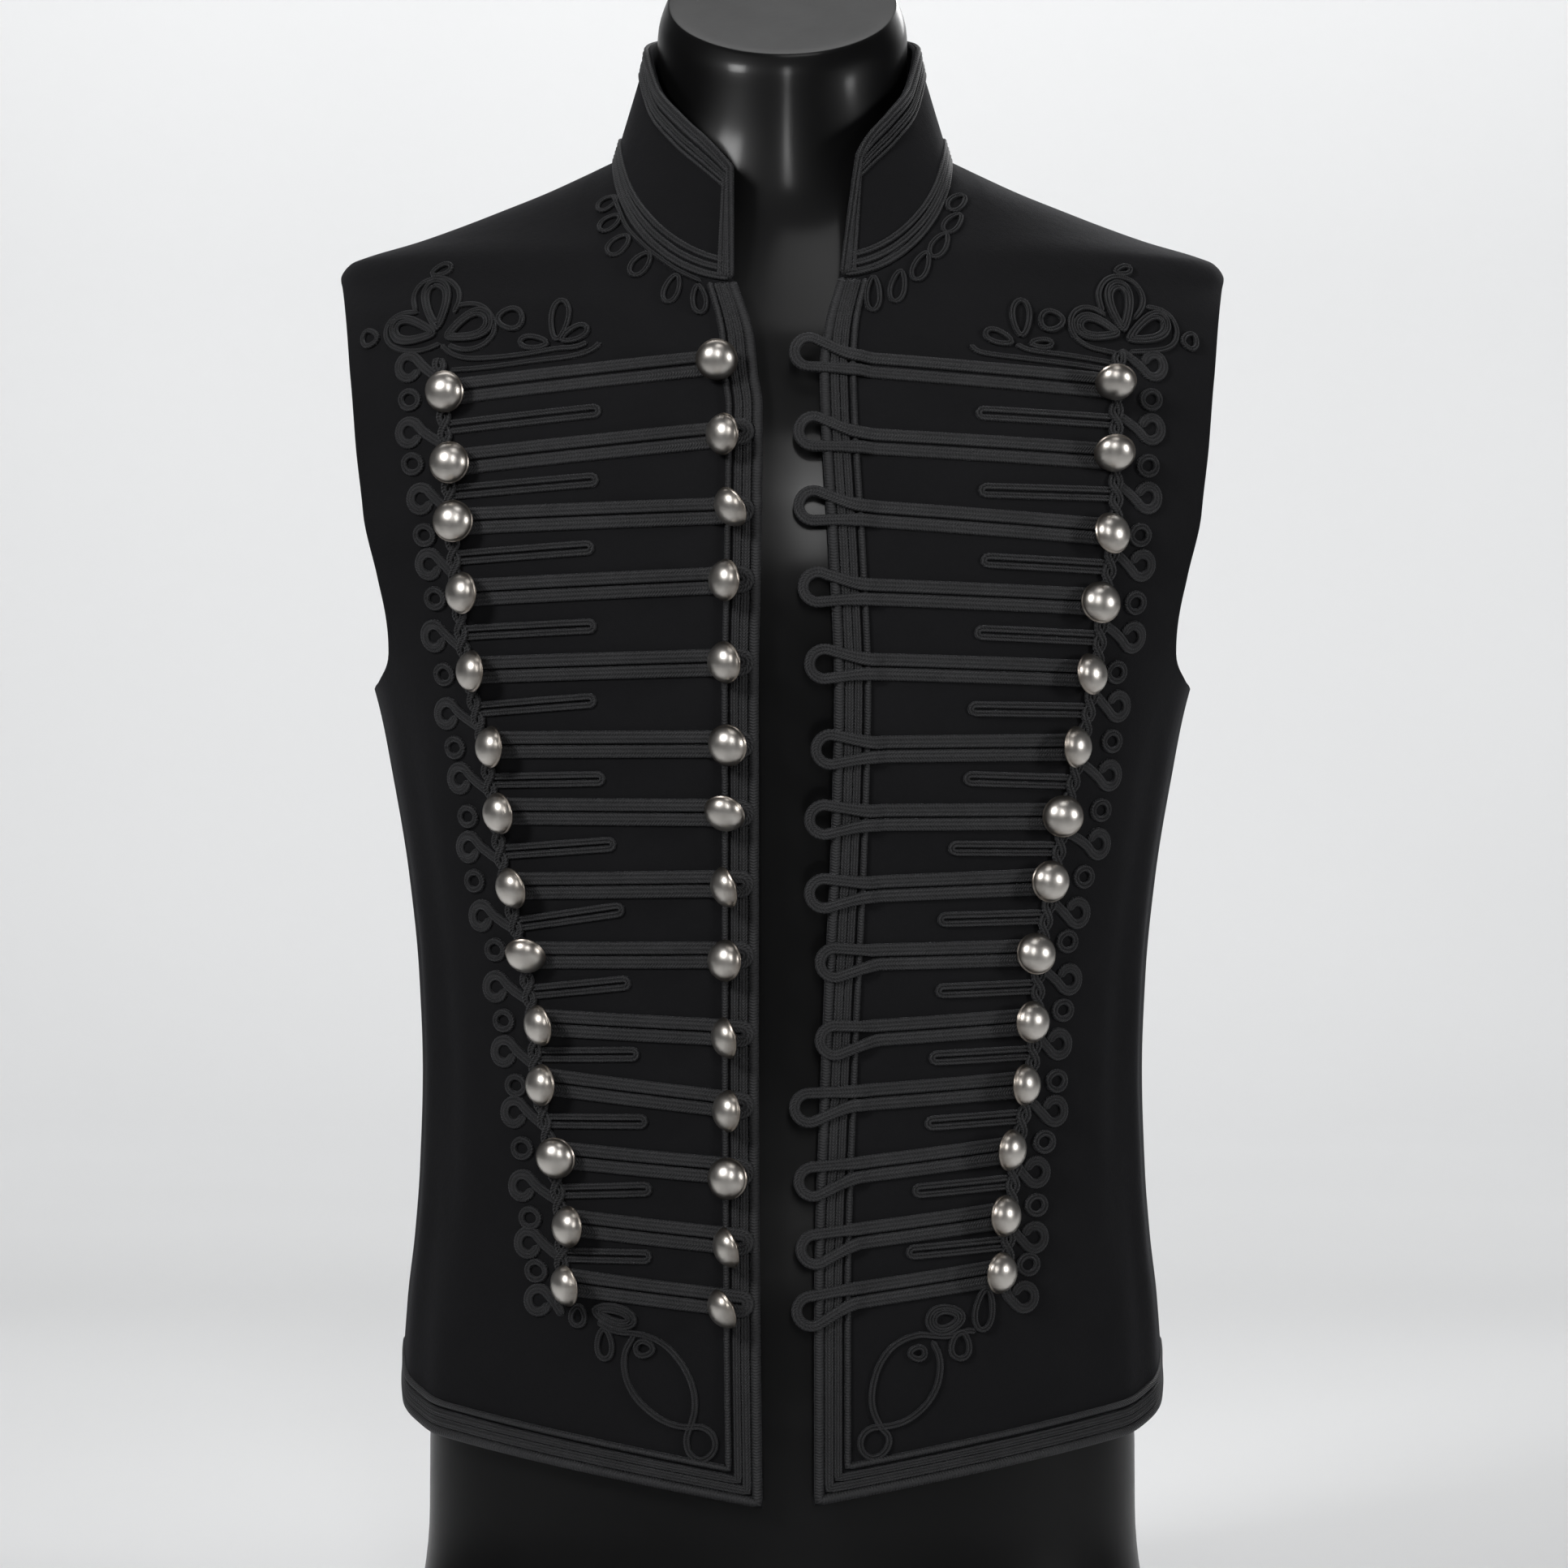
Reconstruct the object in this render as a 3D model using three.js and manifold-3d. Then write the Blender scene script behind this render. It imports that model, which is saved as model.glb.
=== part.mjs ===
// Braided stand-collar waistcoat, worn open on a limbless dress form.
// Millimetres, +Z up. The wearer faces -Y, so the wearer's right is at -X.
import * as THREE from 'three';
import { mergeVertices } from 'three/addons/utils/BufferGeometryUtils.js';
import Module from 'manifold-3d';

const wasm = await Module();
wasm.setup();

// Driving dimensions
const CLOTH = 2.4;              // melton, interlining and lining together
const SEAM = 0.3;               // gap between two pieces at a seam
const LAID = 0.9;               // thin braid lies this far off the smooth cloth
const BAR_LAID = 1.26;          // and the bars and the spine, with longer facets
const CORD = 4.8;               // width of one heavy cord
const LOOP_CORNERS = 6;         // of a button loop
const LOOP_MIDDLE = 9.5;        // from a loop's tip to its middle
const LOOP_REACH = 7.4;         // from its middle to its cord, along the bar
const LOOP_RISE = 5.4;          // and up
const LOOP_LENGTH = 19;         // from its tip to the bar's inner end
const BAR_WIDTH = 12.5;         // two heavy cords side by side
const BAR_HEIGHT = 1.8;
const BAND_WIDTH = 17.5;        // braid round the front edges and the hem
const BAND_HEIGHT = 1.3;
const BAND_INSET = 0.7;         // cloth edge that shows outside the band
const BAND_OUT = 1.25;          // the wide band lies this far off the cloth
const BAND_GAP = 0.6;           // between a band's end and the side seam
const BAND_NARROWER = 0.2;      // share of its width that it loses at the neck
const OVER_BAND = BAND_OUT + BAND_HEIGHT + 2 * SEAM;
const BAR_END = 16;             // inner end of a bar on the wearer's right
const BAR_FALLS = 2.2;          // beyond the band's inner edge it starts down
const BAR_LANDS = 7;            // and lies on the cloth from here
const SPINE_WIDTH = 6.4;
const SPINE_HEIGHT = 2.4;
const SOUTACHE = 3.2;           // width of one thin cord
const SOUTACHE_HEIGHT = 1.4;
const PIN_WIDTH = 6.6;          // a hairpin of thin cord, both legs
const CHAIN_OUT = 13;           // from the spine to the middle of its curls
const BUTTON_RADIUS = 10;
const BUTTON_DOME = 8;
const BUTTON_SIDES = 7;
const BUTTON_GAP = 0.7;         // from the braid under it, before faceting
const BUTTON_TRIES = 4;         // rounds of moving its foot and lowering it again
const SHANK_RADIUS = 1.7;
const SHANK_LENGTH = 4;
const HEM_FRONT = 91.5;         // height of the hem at the centre front
const HEM_RISE = 0.185;         // rise of the hem for each mm to the side
const HEM_BACK = 116;
const HEM_ROUND = 21;           // extra rise at the side seam
const ROUND_FROM = 60;          // degrees from the centre where it starts
const UNDERARM = 482;
const SHOULDER_TIP = 687;
const NECK_POINT = 743;
const NECK_LIFT = 16;           // the neckline is higher at the back
const LIFT_FROM = 620;
const ARM_CAP = 190;            // the form's arms end in flat plates here
const THROAT_INSIDE = 6;        // the throat is drawn in less than the neck's sides
const COLLAR_HEIGHT = 58;
const COLLAR_GIRTH = 118;       // for one step round the collar, near enough
const COLLAR_BRAID = 9;
const COLUMNS_TO_NECK = 4;      // steps of the grids and the paths
const COLUMNS_SHOULDER = 6;
const ROWS_SEAM = 6;
const ROWS_ARMHOLE = 8;
const COLLAR_COLUMNS = 8;
const COLLAR_ROWS = 2;
const HEM_STEPS = 9;
const BAR_STEPS = 4;
const FORM_FRONT_STEPS = 5;
const FORM_SIDE_STEPS = 2;
const DEG = Math.PI / 180;

// A table with named columns, as one list of numbers for each column.
function table(names, rows) {
  const keys = names.split(' ');
  return Object.fromEntries(keys.map((key, k) => [key, rows.map((row) => row[k])]));
}

// The worn cloth, a row for each height: half width, depth before and behind,
// and fullness: 1 is an elliptical ring, less is fuller, more is leaner.
const BODY = table('height half_width front back fullness', [
  [0, 197, 118, 126, 0.86],
  [80, 186, 110, 117, 0.86],
  [147, 186.4, 112, 121, 0.86],
  [183, 184.4, 112, 120, 0.86],
  [215, 180.8, 110, 113, 0.86],
  [247, 178.4, 108, 106, 0.86],
  [295, 177, 107, 100, 0.86],
  [343, 178.8, 109, 98, 0.86],
  [391, 183.6, 114, 99, 0.86],
  [439, 191.4, 121, 103, 0.86],
  [482, 200.4, 126, 110, 0.86],
  [535, 226, 128, 118, 0.86],
  [567, 238, 126, 122, 0.86],
  [599, 240, 120, 124, 0.87],
  [631, 236.8, 110, 123, 0.92],
  [663, 226.8, 97, 117, 1.02],
  [679, 219.5, 88, 113, 1.1],
  [687, 217, 84, 110, 1.15],
  [692.5, 212.5, 81, 107, 1.18],
  [695.5, 205, 79, 105, 1.2],
  [703, 180, 74, 100, 1.26],
  [711, 157.6, 69, 95, 1.3],
  [719, 137, 65, 89, 1.3],
  [727, 117, 63, 83, 1.3],
  [735, 99.4, 61, 77, 1.3],
  [743, 82.5, 60, 71, 1.3],
]);

// Where the armhole's edge lies, in degrees round from the centre front and
// from the centre back.
const ARMHOLE = table('height before behind', [
  [482, 90, 90],
  [486, 77, 78],
  [500, 66.5, 69],
  [530, 60, 64],
  [567, 58, 62],
  [599, 59, 62],
  [631, 62, 65],
  [663, 70, 72],
  [679, 80, 81],
  [687, 90, 90],
]);

// The front edges, each from the centre line.
const EDGE = table('height right left', [
  [90, 9.2, 15],
  [190, 10.4, 15],
  [308, 11.1, 18.5],
  [423, 11, 23.3],
  [481, 11.1, 24.4],
  [538, 10, 22.2],
  [615, 9.2, 18],
  [632, 11.7, 17.6],
  [648, 13.4, 19.3],
  [657, 15.6, 21],
  [667, 19, 23.8],
  [680, 23.6, 27.8],
]);
const NECKLINE = { right: { x: 23.3, z: 676 }, left: { x: 27.5, z: 678 } };

// How far the form lies inside the cloth's outer face.
const CLEARANCE = table('height inside', [
  [0, 12], [119, 13], [147, 15], [215, 15], [295, 16], [391, 14], [439, 12],
  [482, 9], [535, 7], [600, 6.2], [655, 7], [680, 9.8], [700, 13.2], [719, 15], [743, 15],
]);

// The form's neck above the neckline; tilt is rise for each mm to the back.
const NECK = table('height half_width front back tilt', [
  [750, 71, 60, 67, 0.08],
  [760, 64.5, 58.5, 63, 0.16],
  [776, 61.5, 58, 61, 0.32],
  [802, 61.5, 58.5, 60.5, 0.48],
  [821, 58.6, 58.5, 60, 0.58],
]);

// The collar's top edge; u runs from its front corner, 1 at the shoulder
// and 2 at the centre back. The front corner differs on the two sides.
const COLLAR_TOP = table('u x y z', [
  [0, 24.2, -75, 733], [0.25, 35, -66, 746.5], [0.5, 48, -53, 760],
  [0.75, 60, -31, 776], [1, 66, 2, 799], [1.5, 48, 50, 811], [2, 0, 68, 816],
]);
const COLLAR_CORNER_LEFT = { x: 36.6, y: -70, z: 740 };

// Frogging on the wearer's right, a row for each bar from the top down: the
// outer button, the inner button and the tip of the hairpin above the bar,
// each across from the centre line and up, then how far each button's face
// turns towards +X and nods up, in degrees.
const RIGHT_ROWS = table(
  'outer_x outer_z inner_x inner_z pin_x pin_z outer_turn outer_nod inner_turn inner_nod', [
    [162, 623, 31, 636, 85, 643, -20, -5, 0, -15],
    [159, 589, 30, 601, 87, 613, -16, 0, -45, 0],
    [157, 561, 26, 565, 88, 580, -14, 0, -52, -25],
    [154, 527, 29, 532, 90, 548, -47, 0, -50, 0],
    [150, 490, 29, 493, 89, 511, -57, 0, -45, -8],
    [141, 454, 27, 454, 89, 476, -58, 0, -25, -10],
    [137, 422, 28, 421, 85, 439, -50, -8, -20, -35],
    [131, 386, 29, 387, 80, 408, -52, -15, -65, -15],
    [123, 353, 29, 353, 76, 377, -15, -38, -42, 0],
    [118, 321, 29, 316, 73, 342, -58, -10, -66, -10],
    [117, 293, 28, 282, 69, 308, -52, 0, -58, 0],
    [109, 258, 27, 250, 65, 276, -20, -8, -20, 0],
    [104, 226, 28, 217, 63, 244, -50, 0, -66, -15],
    [105, 198, 30, 188, 63, 212, -58, -8, -62, -22],
  ]);

// Frogging on the wearer's left; loop is the tip of the button loop.
const LEFT_ROWS = table(
  'outer_x outer_z loop_x loop_z pin_x pin_z outer_turn outer_nod', [
    [159, 626, 3, 640, 88, 641, 5, -36],
    [158, 592, 5, 602, 93, 612, 5, -30],
    [158, 556, 5, 567, 94, 575, 35, 12],
    [152, 523, 7, 529, 95, 542, 18, 8],
    [149, 489, 10, 493, 92, 508, 50, 8],
    [142, 454, 13, 453, 89, 472, 56, 0],
    [134, 421, 10, 420, 87, 439, 8, 0],
    [129, 390, 10, 385, 80, 406, 25, 0],
    [122, 356, 15, 352, 75, 372, 20, 8],
    [121, 323, 15, 315, 74, 338, 40, 0],
    [118, 293, 3, 283, 71, 306, 56, 0],
    [111, 262, 5, 248, 69, 275, 56, -5],
    [108, 231, 6, 216, 63, 243, 50, 0],
    [106, 204, 4, 187, 60, 214, 50, -5],
  ]);

// Scrolls of thin cord: the middle of each closed curl, its length and
// breadth, and the direction that its round end points in, in degrees from
// +X for the left front. The right front is its mirror image.
const KNOT = table('x z length breadth points', [
  [166, 670, 30, 18, 90], [180, 654, 27, 17, 18], [148, 654, 27, 17, 162],
  [166, 686, 13, 9, 20], [199, 653, 13, 12, 0], [129, 657, 14, 13, 180],
  [106, 656, 19, 10, 93], [98, 652, 15, 9, 150], [118, 649, 14, 8, 10],
]);
const KNOT_CORDS = [
  [[164, 645], [165, 662]],
  [[150, 648], [164, 647], [180, 648], [196, 652]],
  [[127, 651], [148, 648]],
  [[96, 650.5], [106, 650], [118, 649.5], [128, 653]],
];
const NECK_CURLS = table('x z length breadth points', [
  [87, 717, 15, 9, 0], [83, 706, 16, 9, 350], [78, 695, 16, 9, 325],
  [66, 684, 16, 9, 300], [53, 672, 16, 9, 285], [41, 667, 17, 9, 272],
]);
const NECK_CORD = [[83, 723], [78, 712], [72, 700], [64, 691], [51, 678.5], [40, 674]];
const CORNER = table('x z length breadth points', [
  [97, 180, 12, 9, 270], [79, 183, 24, 13, 190], [85, 170, 17, 12, 265],
  [65, 167, 11, 10, 0], [57, 156, 54, 34, 62], [41, 131, 15, 13, 240],
]);
const CORNER_CORDS = [
  [[101, 185], [96, 186], [87, 183]],
  [[88, 180], [78, 176], [66, 176]],
  [[66, 178], [66, 170]],
];

const COLOURS = {
  cloth: { color: 0x17171a, roughness: 0.95, metalness: 0 },
  braid: { color: 0x232427, roughness: 0.8, metalness: 0 },
  form: { color: 0x0b0b0c, roughness: 0.32, metalness: 0 },
  button: { color: 0x9a9287, roughness: 0.34, metalness: 1 },
};

// A smooth curve through a column of a table that never overshoots its rows.
function curve(rows, key, by = 'height') {
  const xs = rows[by];
  const ys = rows[key];
  const last = xs.length - 1;
  const gap = xs.slice(1).map((x, i) => x - xs[i]);
  const rise = gap.map((g, i) => (ys[i + 1] - ys[i]) / g);
  const slope = ys.map((y, i) => {
    if (i === 0) return rise[0];
    if (i === last) return rise[last - 1];
    if (rise[i - 1] * rise[i] <= 0) return 0;
    const w1 = 2 * gap[i] + gap[i - 1];
    const w2 = gap[i] + 2 * gap[i - 1];
    return (w1 + w2) / (w1 / rise[i - 1] + w2 / rise[i]);
  });
  return (x) => {
    let i = 0;
    while (i < last - 1 && x > xs[i + 1]) i += 1;
    const t = (x - xs[i]) / gap[i];
    return (1 + 2 * t) * (1 - t) ** 2 * ys[i] + t * (1 - t) ** 2 * gap[i] * slope[i]
      + t * t * (3 - 2 * t) * ys[i + 1] + t * t * (t - 1) * gap[i] * slope[i + 1];
  };
}

const halfWidth = curve(BODY, 'half_width');
const depthBefore = curve(BODY, 'front');
const depthBehind = curve(BODY, 'back');
const fullness = curve(BODY, 'fullness');
const armholeBefore = curve(ARMHOLE, 'before');
const armholeBehind = curve(ARMHOLE, 'behind');

// A point of the cloth's outer face: angle in radians round from the centre
// front towards +X, height of its ring at the sides.
function bodyPoint(angle, height) {
  const ahead = Math.cos(angle);
  const depth = ahead > 0 ? -depthBefore(height) : depthBehind(height);
  const lift = NECK_LIFT * THREE.MathUtils.smoothstep(height, LIFT_FROM, NECK_POINT);
  return new THREE.Vector3(
    halfWidth(height) * Math.sin(angle),
    depth * Math.abs(ahead) ** fullness(height),
    height + (ahead < 0 ? lift * ahead * ahead : 0),
  );
}

function bodyNormal(angle, height) {
  const round = bodyPoint(angle + 0.02, height).sub(bodyPoint(angle - 0.02, height));
  const up = bodyPoint(angle, height + 0.4).sub(bodyPoint(angle, height - 0.4));
  return round.cross(up).normalize();
}

// Pattern coordinates: round is the tape-measure distance along a ring from
// the centre front (or the centre back), height is the ring.
const TAPE_STEPS = 60;
const FAR_ANGLE = 100 * DEG;

function tape(height, behind) {
  const marks = [];
  let total = 0;
  let before = null;
  for (let k = 0; k <= TAPE_STEPS; k += 1) {
    const angle = (FAR_ANGLE * k) / TAPE_STEPS;
    const p = bodyPoint(behind ? Math.PI - angle : angle, height);
    if (before) total += Math.hypot(p.x - before.x, p.y - before.y);
    marks.push([angle, total]);
    before = p;
  }
  return marks;
}

function roundAt(angle, height, behind = false) {
  const marks = tape(height, behind);
  const k = Math.min(TAPE_STEPS - 1, Math.floor((angle / FAR_ANGLE) * TAPE_STEPS));
  const t = (angle - marks[k][0]) / (marks[k + 1][0] - marks[k][0]);
  return THREE.MathUtils.lerp(marks[k][1], marks[k + 1][1], t);
}

function angleAt(round, height, behind = false) {
  const marks = tape(height, behind);
  let k = 0;
  while (k < TAPE_STEPS - 1 && marks[k + 1][1] < Math.abs(round)) k += 1;
  const t = (Math.abs(round) - marks[k][1]) / (marks[k + 1][1] - marks[k][1]);
  const angle = THREE.MathUtils.lerp(marks[k][0], marks[k + 1][0], t);
  return Math.sign(round) * angle;
}

// A point at pattern coordinates, moved out from the cloth's outer face.
function lay(round, height, out = 0, behind = false) {
  const turn = angleAt(round, height, behind);
  const angle = behind ? Math.PI - turn : turn;
  return bodyPoint(angle, height).addScaledVector(bodyNormal(angle, height), out);
}

// Pattern coordinates of a point seen straight from the front.
function seen(x, z) {
  const angle = Math.asin(Math.min(1, Math.abs(x) / halfWidth(z)));
  return [Math.sign(x) * roundAt(angle, z), z];
}

// Closed solids from points and faces, faces pointing out.
function solid(points, faces) {
  let volume = 0;
  for (const [a, b, c] of faces) {
    volume += points[a].dot(points[b].clone().cross(points[c]));
  }
  const order = volume < 0 ? [0, 2, 1] : [0, 1, 2];
  const geometry = new THREE.BufferGeometry();
  geometry.setAttribute('position', new THREE.Float32BufferAttribute(
    points.flatMap((p) => [p.x, p.y, p.z]), 3));
  geometry.setIndex(faces.flatMap((face) => order.map((k) => face[k])));
  geometry.computeVertexNormals();
  return geometry;
}

// A wall between two equal grids of points, each a list of rows.
function wall(outer, inner) {
  const rows = outer.length;
  const columns = outer[0].length;
  const points = [...outer.flat(), ...inner.flat()];
  const at = (i, j, side) => side * rows * columns + i * columns + j;
  const faces = [];
  const quad = (a, b, c, d) => faces.push([a, b, c], [a, c, d]);
  for (let i = 0; i < rows - 1; i += 1) {
    for (let j = 0; j < columns - 1; j += 1) {
      quad(at(i, j, 0), at(i, j + 1, 0), at(i + 1, j + 1, 0), at(i + 1, j, 0));
      quad(at(i, j, 1), at(i + 1, j, 1), at(i + 1, j + 1, 1), at(i, j + 1, 1));
    }
  }
  for (let j = 0; j < columns - 1; j += 1) {
    const top = rows - 1;
    quad(at(0, j + 1, 0), at(0, j, 0), at(0, j, 1), at(0, j + 1, 1));
    quad(at(top, j, 0), at(top, j + 1, 0), at(top, j + 1, 1), at(top, j, 1));
  }
  for (let i = 0; i < rows - 1; i += 1) {
    const end = columns - 1;
    quad(at(i, 0, 0), at(i + 1, 0, 0), at(i + 1, 0, 1), at(i, 0, 1));
    quad(at(i + 1, end, 0), at(i, end, 0), at(i, end, 1), at(i + 1, end, 1));
  }
  return solid(points, faces);
}

// A solid whose sections are closed rings of equal count, capped at both
// ends, or joined end to end when closed.
function tube(sections, closed = false) {
  const count = sections[0].length;
  const points = sections.flat();
  const faces = [];
  const steps = closed ? sections.length : sections.length - 1;
  for (let i = 0; i < steps; i += 1) {
    const next = (i + 1) % sections.length;
    for (let j = 0; j < count; j += 1) {
      const k = (j + 1) % count;
      const [a, b] = [i * count + j, i * count + k];
      const [c, d] = [next * count + k, next * count + j];
      faces.push([a, b, c], [a, c, d]);
    }
  }
  if (!closed) {
    const last = (sections.length - 1) * count;
    for (let j = 1; j < count - 1; j += 1) {
      faces.push([0, j + 1, j], [last, last + j, last + j + 1]);
    }
  }
  return solid(points, faces);
}

// Cross-sections of braid: across and up, both as shares of its size. The
// first point is one that every other can be joined to by a straight cut.
const RIDGED = [[0, 0.55], [-0.25, 1], [-0.5, 0], [0.5, 0], [0.25, 1]];
const BANDED = [[0, 1], [-0.17, 0.6], [-0.33, 1], [-0.5, 0], [0.5, 0], [0.33, 1], [0.17, 0.6]];
const FLAT = [[-0.32, 1], [-0.5, 0], [0.5, 0], [0.32, 1]];
const ROUND = [[0, 1], [-0.5, 0], [0.5, 0]];

// A braid along a path of pattern points [round, height, out, share of the
// width], mitred at its corners. upright lists the ends, 'first' or 'last',
// that are cut along the height instead of square.
function braid(path, width, height, section, options = {}) {
  const { closed = false, behind = false, upright = [], place = lay } = options;
  const count = path.length;
  const sections = path.map((point, i) => {
    const before = path[closed ? (i + count - 1) % count : Math.max(0, i - 1)];
    const after = path[closed ? (i + 1) % count : Math.min(count - 1, i + 1)];
    const leg = (a, b) => new THREE.Vector2(b[0] - a[0], b[1] - a[1]).normalize();
    const into = before === point ? leg(point, after) : leg(before, point);
    const out = after === point ? into : leg(point, after);
    const across = new THREE.Vector2(-(into.y + out.y), into.x + out.x).normalize();
    const isCut = (before === point && upright.includes('first'))
      || (after === point && upright.includes('last'));
    const cut = isCut ? new THREE.Vector2(0, Math.sign(across.y)) : across;
    const stretch = 1 / Math.max(0.5, Math.abs(cut.x * -into.y + cut.y * into.x));
    const reach = width * stretch * (point[3] ?? 1);
    return section.map(([a, up]) => place(
      point[0] + cut.x * a * reach,
      point[1] + cut.y * a * reach,
      (point[2] ?? LAID) + up * height,
      behind,
    ));
  });
  return tube(sections, closed);
}

// One solid from several that overlap, with no pocket closed in between them.
function joined(geometries) {
  const parts = geometries.map((geometry) => {
    const bare = geometry.clone();
    bare.deleteAttribute('normal');
    const welded = mergeVertices(bare, 1e-4);
    return new wasm.Manifold(new wasm.Mesh({
      numProp: 3,
      vertProperties: new Float32Array(welded.attributes.position.array),
      triVerts: new Uint32Array(welded.index.array),
    }));
  });
  const pieces = parts.reduce((sum, part) => sum.add(part)).decompose();
  const whole = pieces.reduce((a, b) => (a.volume() > b.volume() ? a : b));
  const result = whole.getMesh();
  const geometry = new THREE.BufferGeometry();
  geometry.setAttribute('position', new THREE.Float32BufferAttribute(result.vertProperties, 3));
  geometry.setIndex(Array.from(result.triVerts));
  geometry.computeVertexNormals();
  return geometry;
}

// Points along a polyline at equal steps, or closer towards its end when
// crowd is over 1.
function stepped(points, steps, crowd = 1) {
  const lengths = points.slice(1).map((p, i) => Math.hypot(p[0] - points[i][0], p[1] - points[i][1]));
  const total = lengths.reduce((a, b) => a + b);
  return Array.from({ length: steps + 1 }, (_, k) => {
    let left = total * (1 - (1 - k / steps) ** crowd);
    let i = 0;
    while (i < lengths.length - 1 && left > lengths[i]) {
      left -= lengths[i];
      i += 1;
    }
    const t = Math.min(1, left / lengths[i]);
    return points[i].map((v, c) => THREE.MathUtils.lerp(v, points[i + 1][c], t));
  });
}

// Height of the hem at an angle from the centre front or back.
function hemHeight(angle, behind) {
  const degrees = angle / DEG;
  const corner = HEM_ROUND * Math.max(0, (degrees - ROUND_FROM) / (90 - ROUND_FROM)) ** 2;
  const side = HEM_FRONT + HEM_RISE * halfWidth(HEM_FRONT);
  const level = behind
    ? THREE.MathUtils.lerp(HEM_BACK, side, Math.sin(angle) ** 2)
    : HEM_FRONT + HEM_RISE * halfWidth(HEM_FRONT) * Math.sin(angle);
  return level + corner;
}

// The angle at which a panel stops, half a seam short of the side line.
function seamAngle(height, behind) {
  const depth = behind ? depthBehind(height) : depthBefore(height);
  return Math.PI / 2 - (SEAM / 2 / depth) ** (1 / fullness(height));
}

// Coons patch in pattern coordinates: each edge is a list of points.
function patch(bottom, top, left, right, out, behind) {
  const columns = bottom.length - 1;
  const rows = left.length - 1;
  return left.map((l, i) => bottom.map((b, j) => {
    const [s, t] = [j / columns, i / rows];
    const mix = [0, 1].map((c) => (1 - t) * b[c] + t * top[j][c]
      + (1 - s) * l[c] + s * right[i][c]
      - (1 - s) * (1 - t) * bottom[0][c] - s * (1 - t) * bottom[columns][c]
      - (1 - s) * t * top[0][c] - s * t * top[columns][c]);
    return lay(mix[0], mix[1], out, behind);
  }));
}

function seamLine(behind) {
  const bottom = hemHeight(Math.PI / 2, behind);
  return Array.from({ length: ROWS_SEAM + 1 }, (_, i) => {
    const z = THREE.MathUtils.lerp(bottom, UNDERARM, i / ROWS_SEAM);
    return [roundAt(seamAngle(z, behind), z, behind), z];
  });
}

function armholeLine(behind) {
  const edge = behind ? armholeBehind : armholeBefore;
  const fine = Array.from({ length: 42 }, (_, i) => {
    const z = THREE.MathUtils.lerp(UNDERARM, SHOULDER_TIP, (i / 41) ** 1.6);
    const angle = Math.min(edge(z) * DEG, seamAngle(z, behind));
    return [roundAt(angle, z, behind), z];
  });
  return stepped(fine, ROWS_ARMHOLE, 1.45);
}

function shoulderLine(behind) {
  return Array.from({ length: COLUMNS_SHOULDER + 1 }, (_, i) => {
    const x = THREE.MathUtils.lerp(halfWidth(NECK_POINT), halfWidth(SHOULDER_TIP), i / COLUMNS_SHOULDER);
    let [low, high] = [SHOULDER_TIP, NECK_POINT];
    for (let k = 0; k < 30; k += 1) {
      const mid = (low + high) / 2;
      if (halfWidth(mid) > x) low = mid;
      else high = mid;
    }
    return [roundAt(seamAngle(low, behind), low, behind), low];
  });
}

function hemLine(from, behind) {
  const columns = COLUMNS_TO_NECK + COLUMNS_SHOULDER;
  const end = seamAngle(hemHeight(Math.PI / 2, behind), behind);
  return Array.from({ length: columns + 1 }, (_, j) => {
    const angle = THREE.MathUtils.lerp(from, end, j / columns);
    const z = hemHeight(angle, behind);
    return [roundAt(Math.min(angle, seamAngle(z, behind)), z, behind), z];
  });
}

// Neckline of a front, a quarter of an ellipse seen from the front; u from 0
// at its front corner to 1 at the shoulder.
function necklinePoint(side, u) {
  const corner = NECKLINE[side];
  const turn = (Math.PI / 2) * u;
  const x = corner.x + (halfWidth(NECK_POINT) - 0.02 - corner.x) * Math.sin(turn);
  const z = NECK_POINT - (NECK_POINT - corner.z) * Math.cos(turn);
  const angle = Math.min(Math.asin(Math.min(1, x / halfWidth(z))), seamAngle(z, false));
  return [roundAt(angle, z), z];
}

function flip(grid) {
  return grid.map((row) => row.map((p) => new THREE.Vector3(-p.x, p.y, p.z)));
}

function front(side) {
  const edgeX = curve(EDGE, side);
  const rows = ROWS_SEAM + ROWS_ARMHOLE;
  const foot = Math.asin(edgeX(HEM_FRONT) / halfWidth(HEM_FRONT));
  const bottom = hemLine(foot, false);
  const neck = Array.from(
    { length: COLUMNS_TO_NECK + 1 }, (_, i) => necklinePoint(side, i / COLUMNS_TO_NECK));
  const top = [...neck, ...shoulderLine(false).slice(1)];
  const left = Array.from({ length: rows + 1 }, (_, i) => {
    const z = THREE.MathUtils.lerp(bottom[0][1], NECKLINE[side].z, i / rows);
    return seen(edgeX(z), z);
  });
  [left[0], left[rows]] = [bottom[0], neck[0]];
  const right = [...seamLine(false), ...armholeLine(false).slice(1)];
  const face = (out) => {
    const grid = patch(bottom, top, left, right, out, false);
    return side === 'right' ? flip(grid) : grid;
  };
  return wall(face(0), face(-CLOTH));
}

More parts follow.
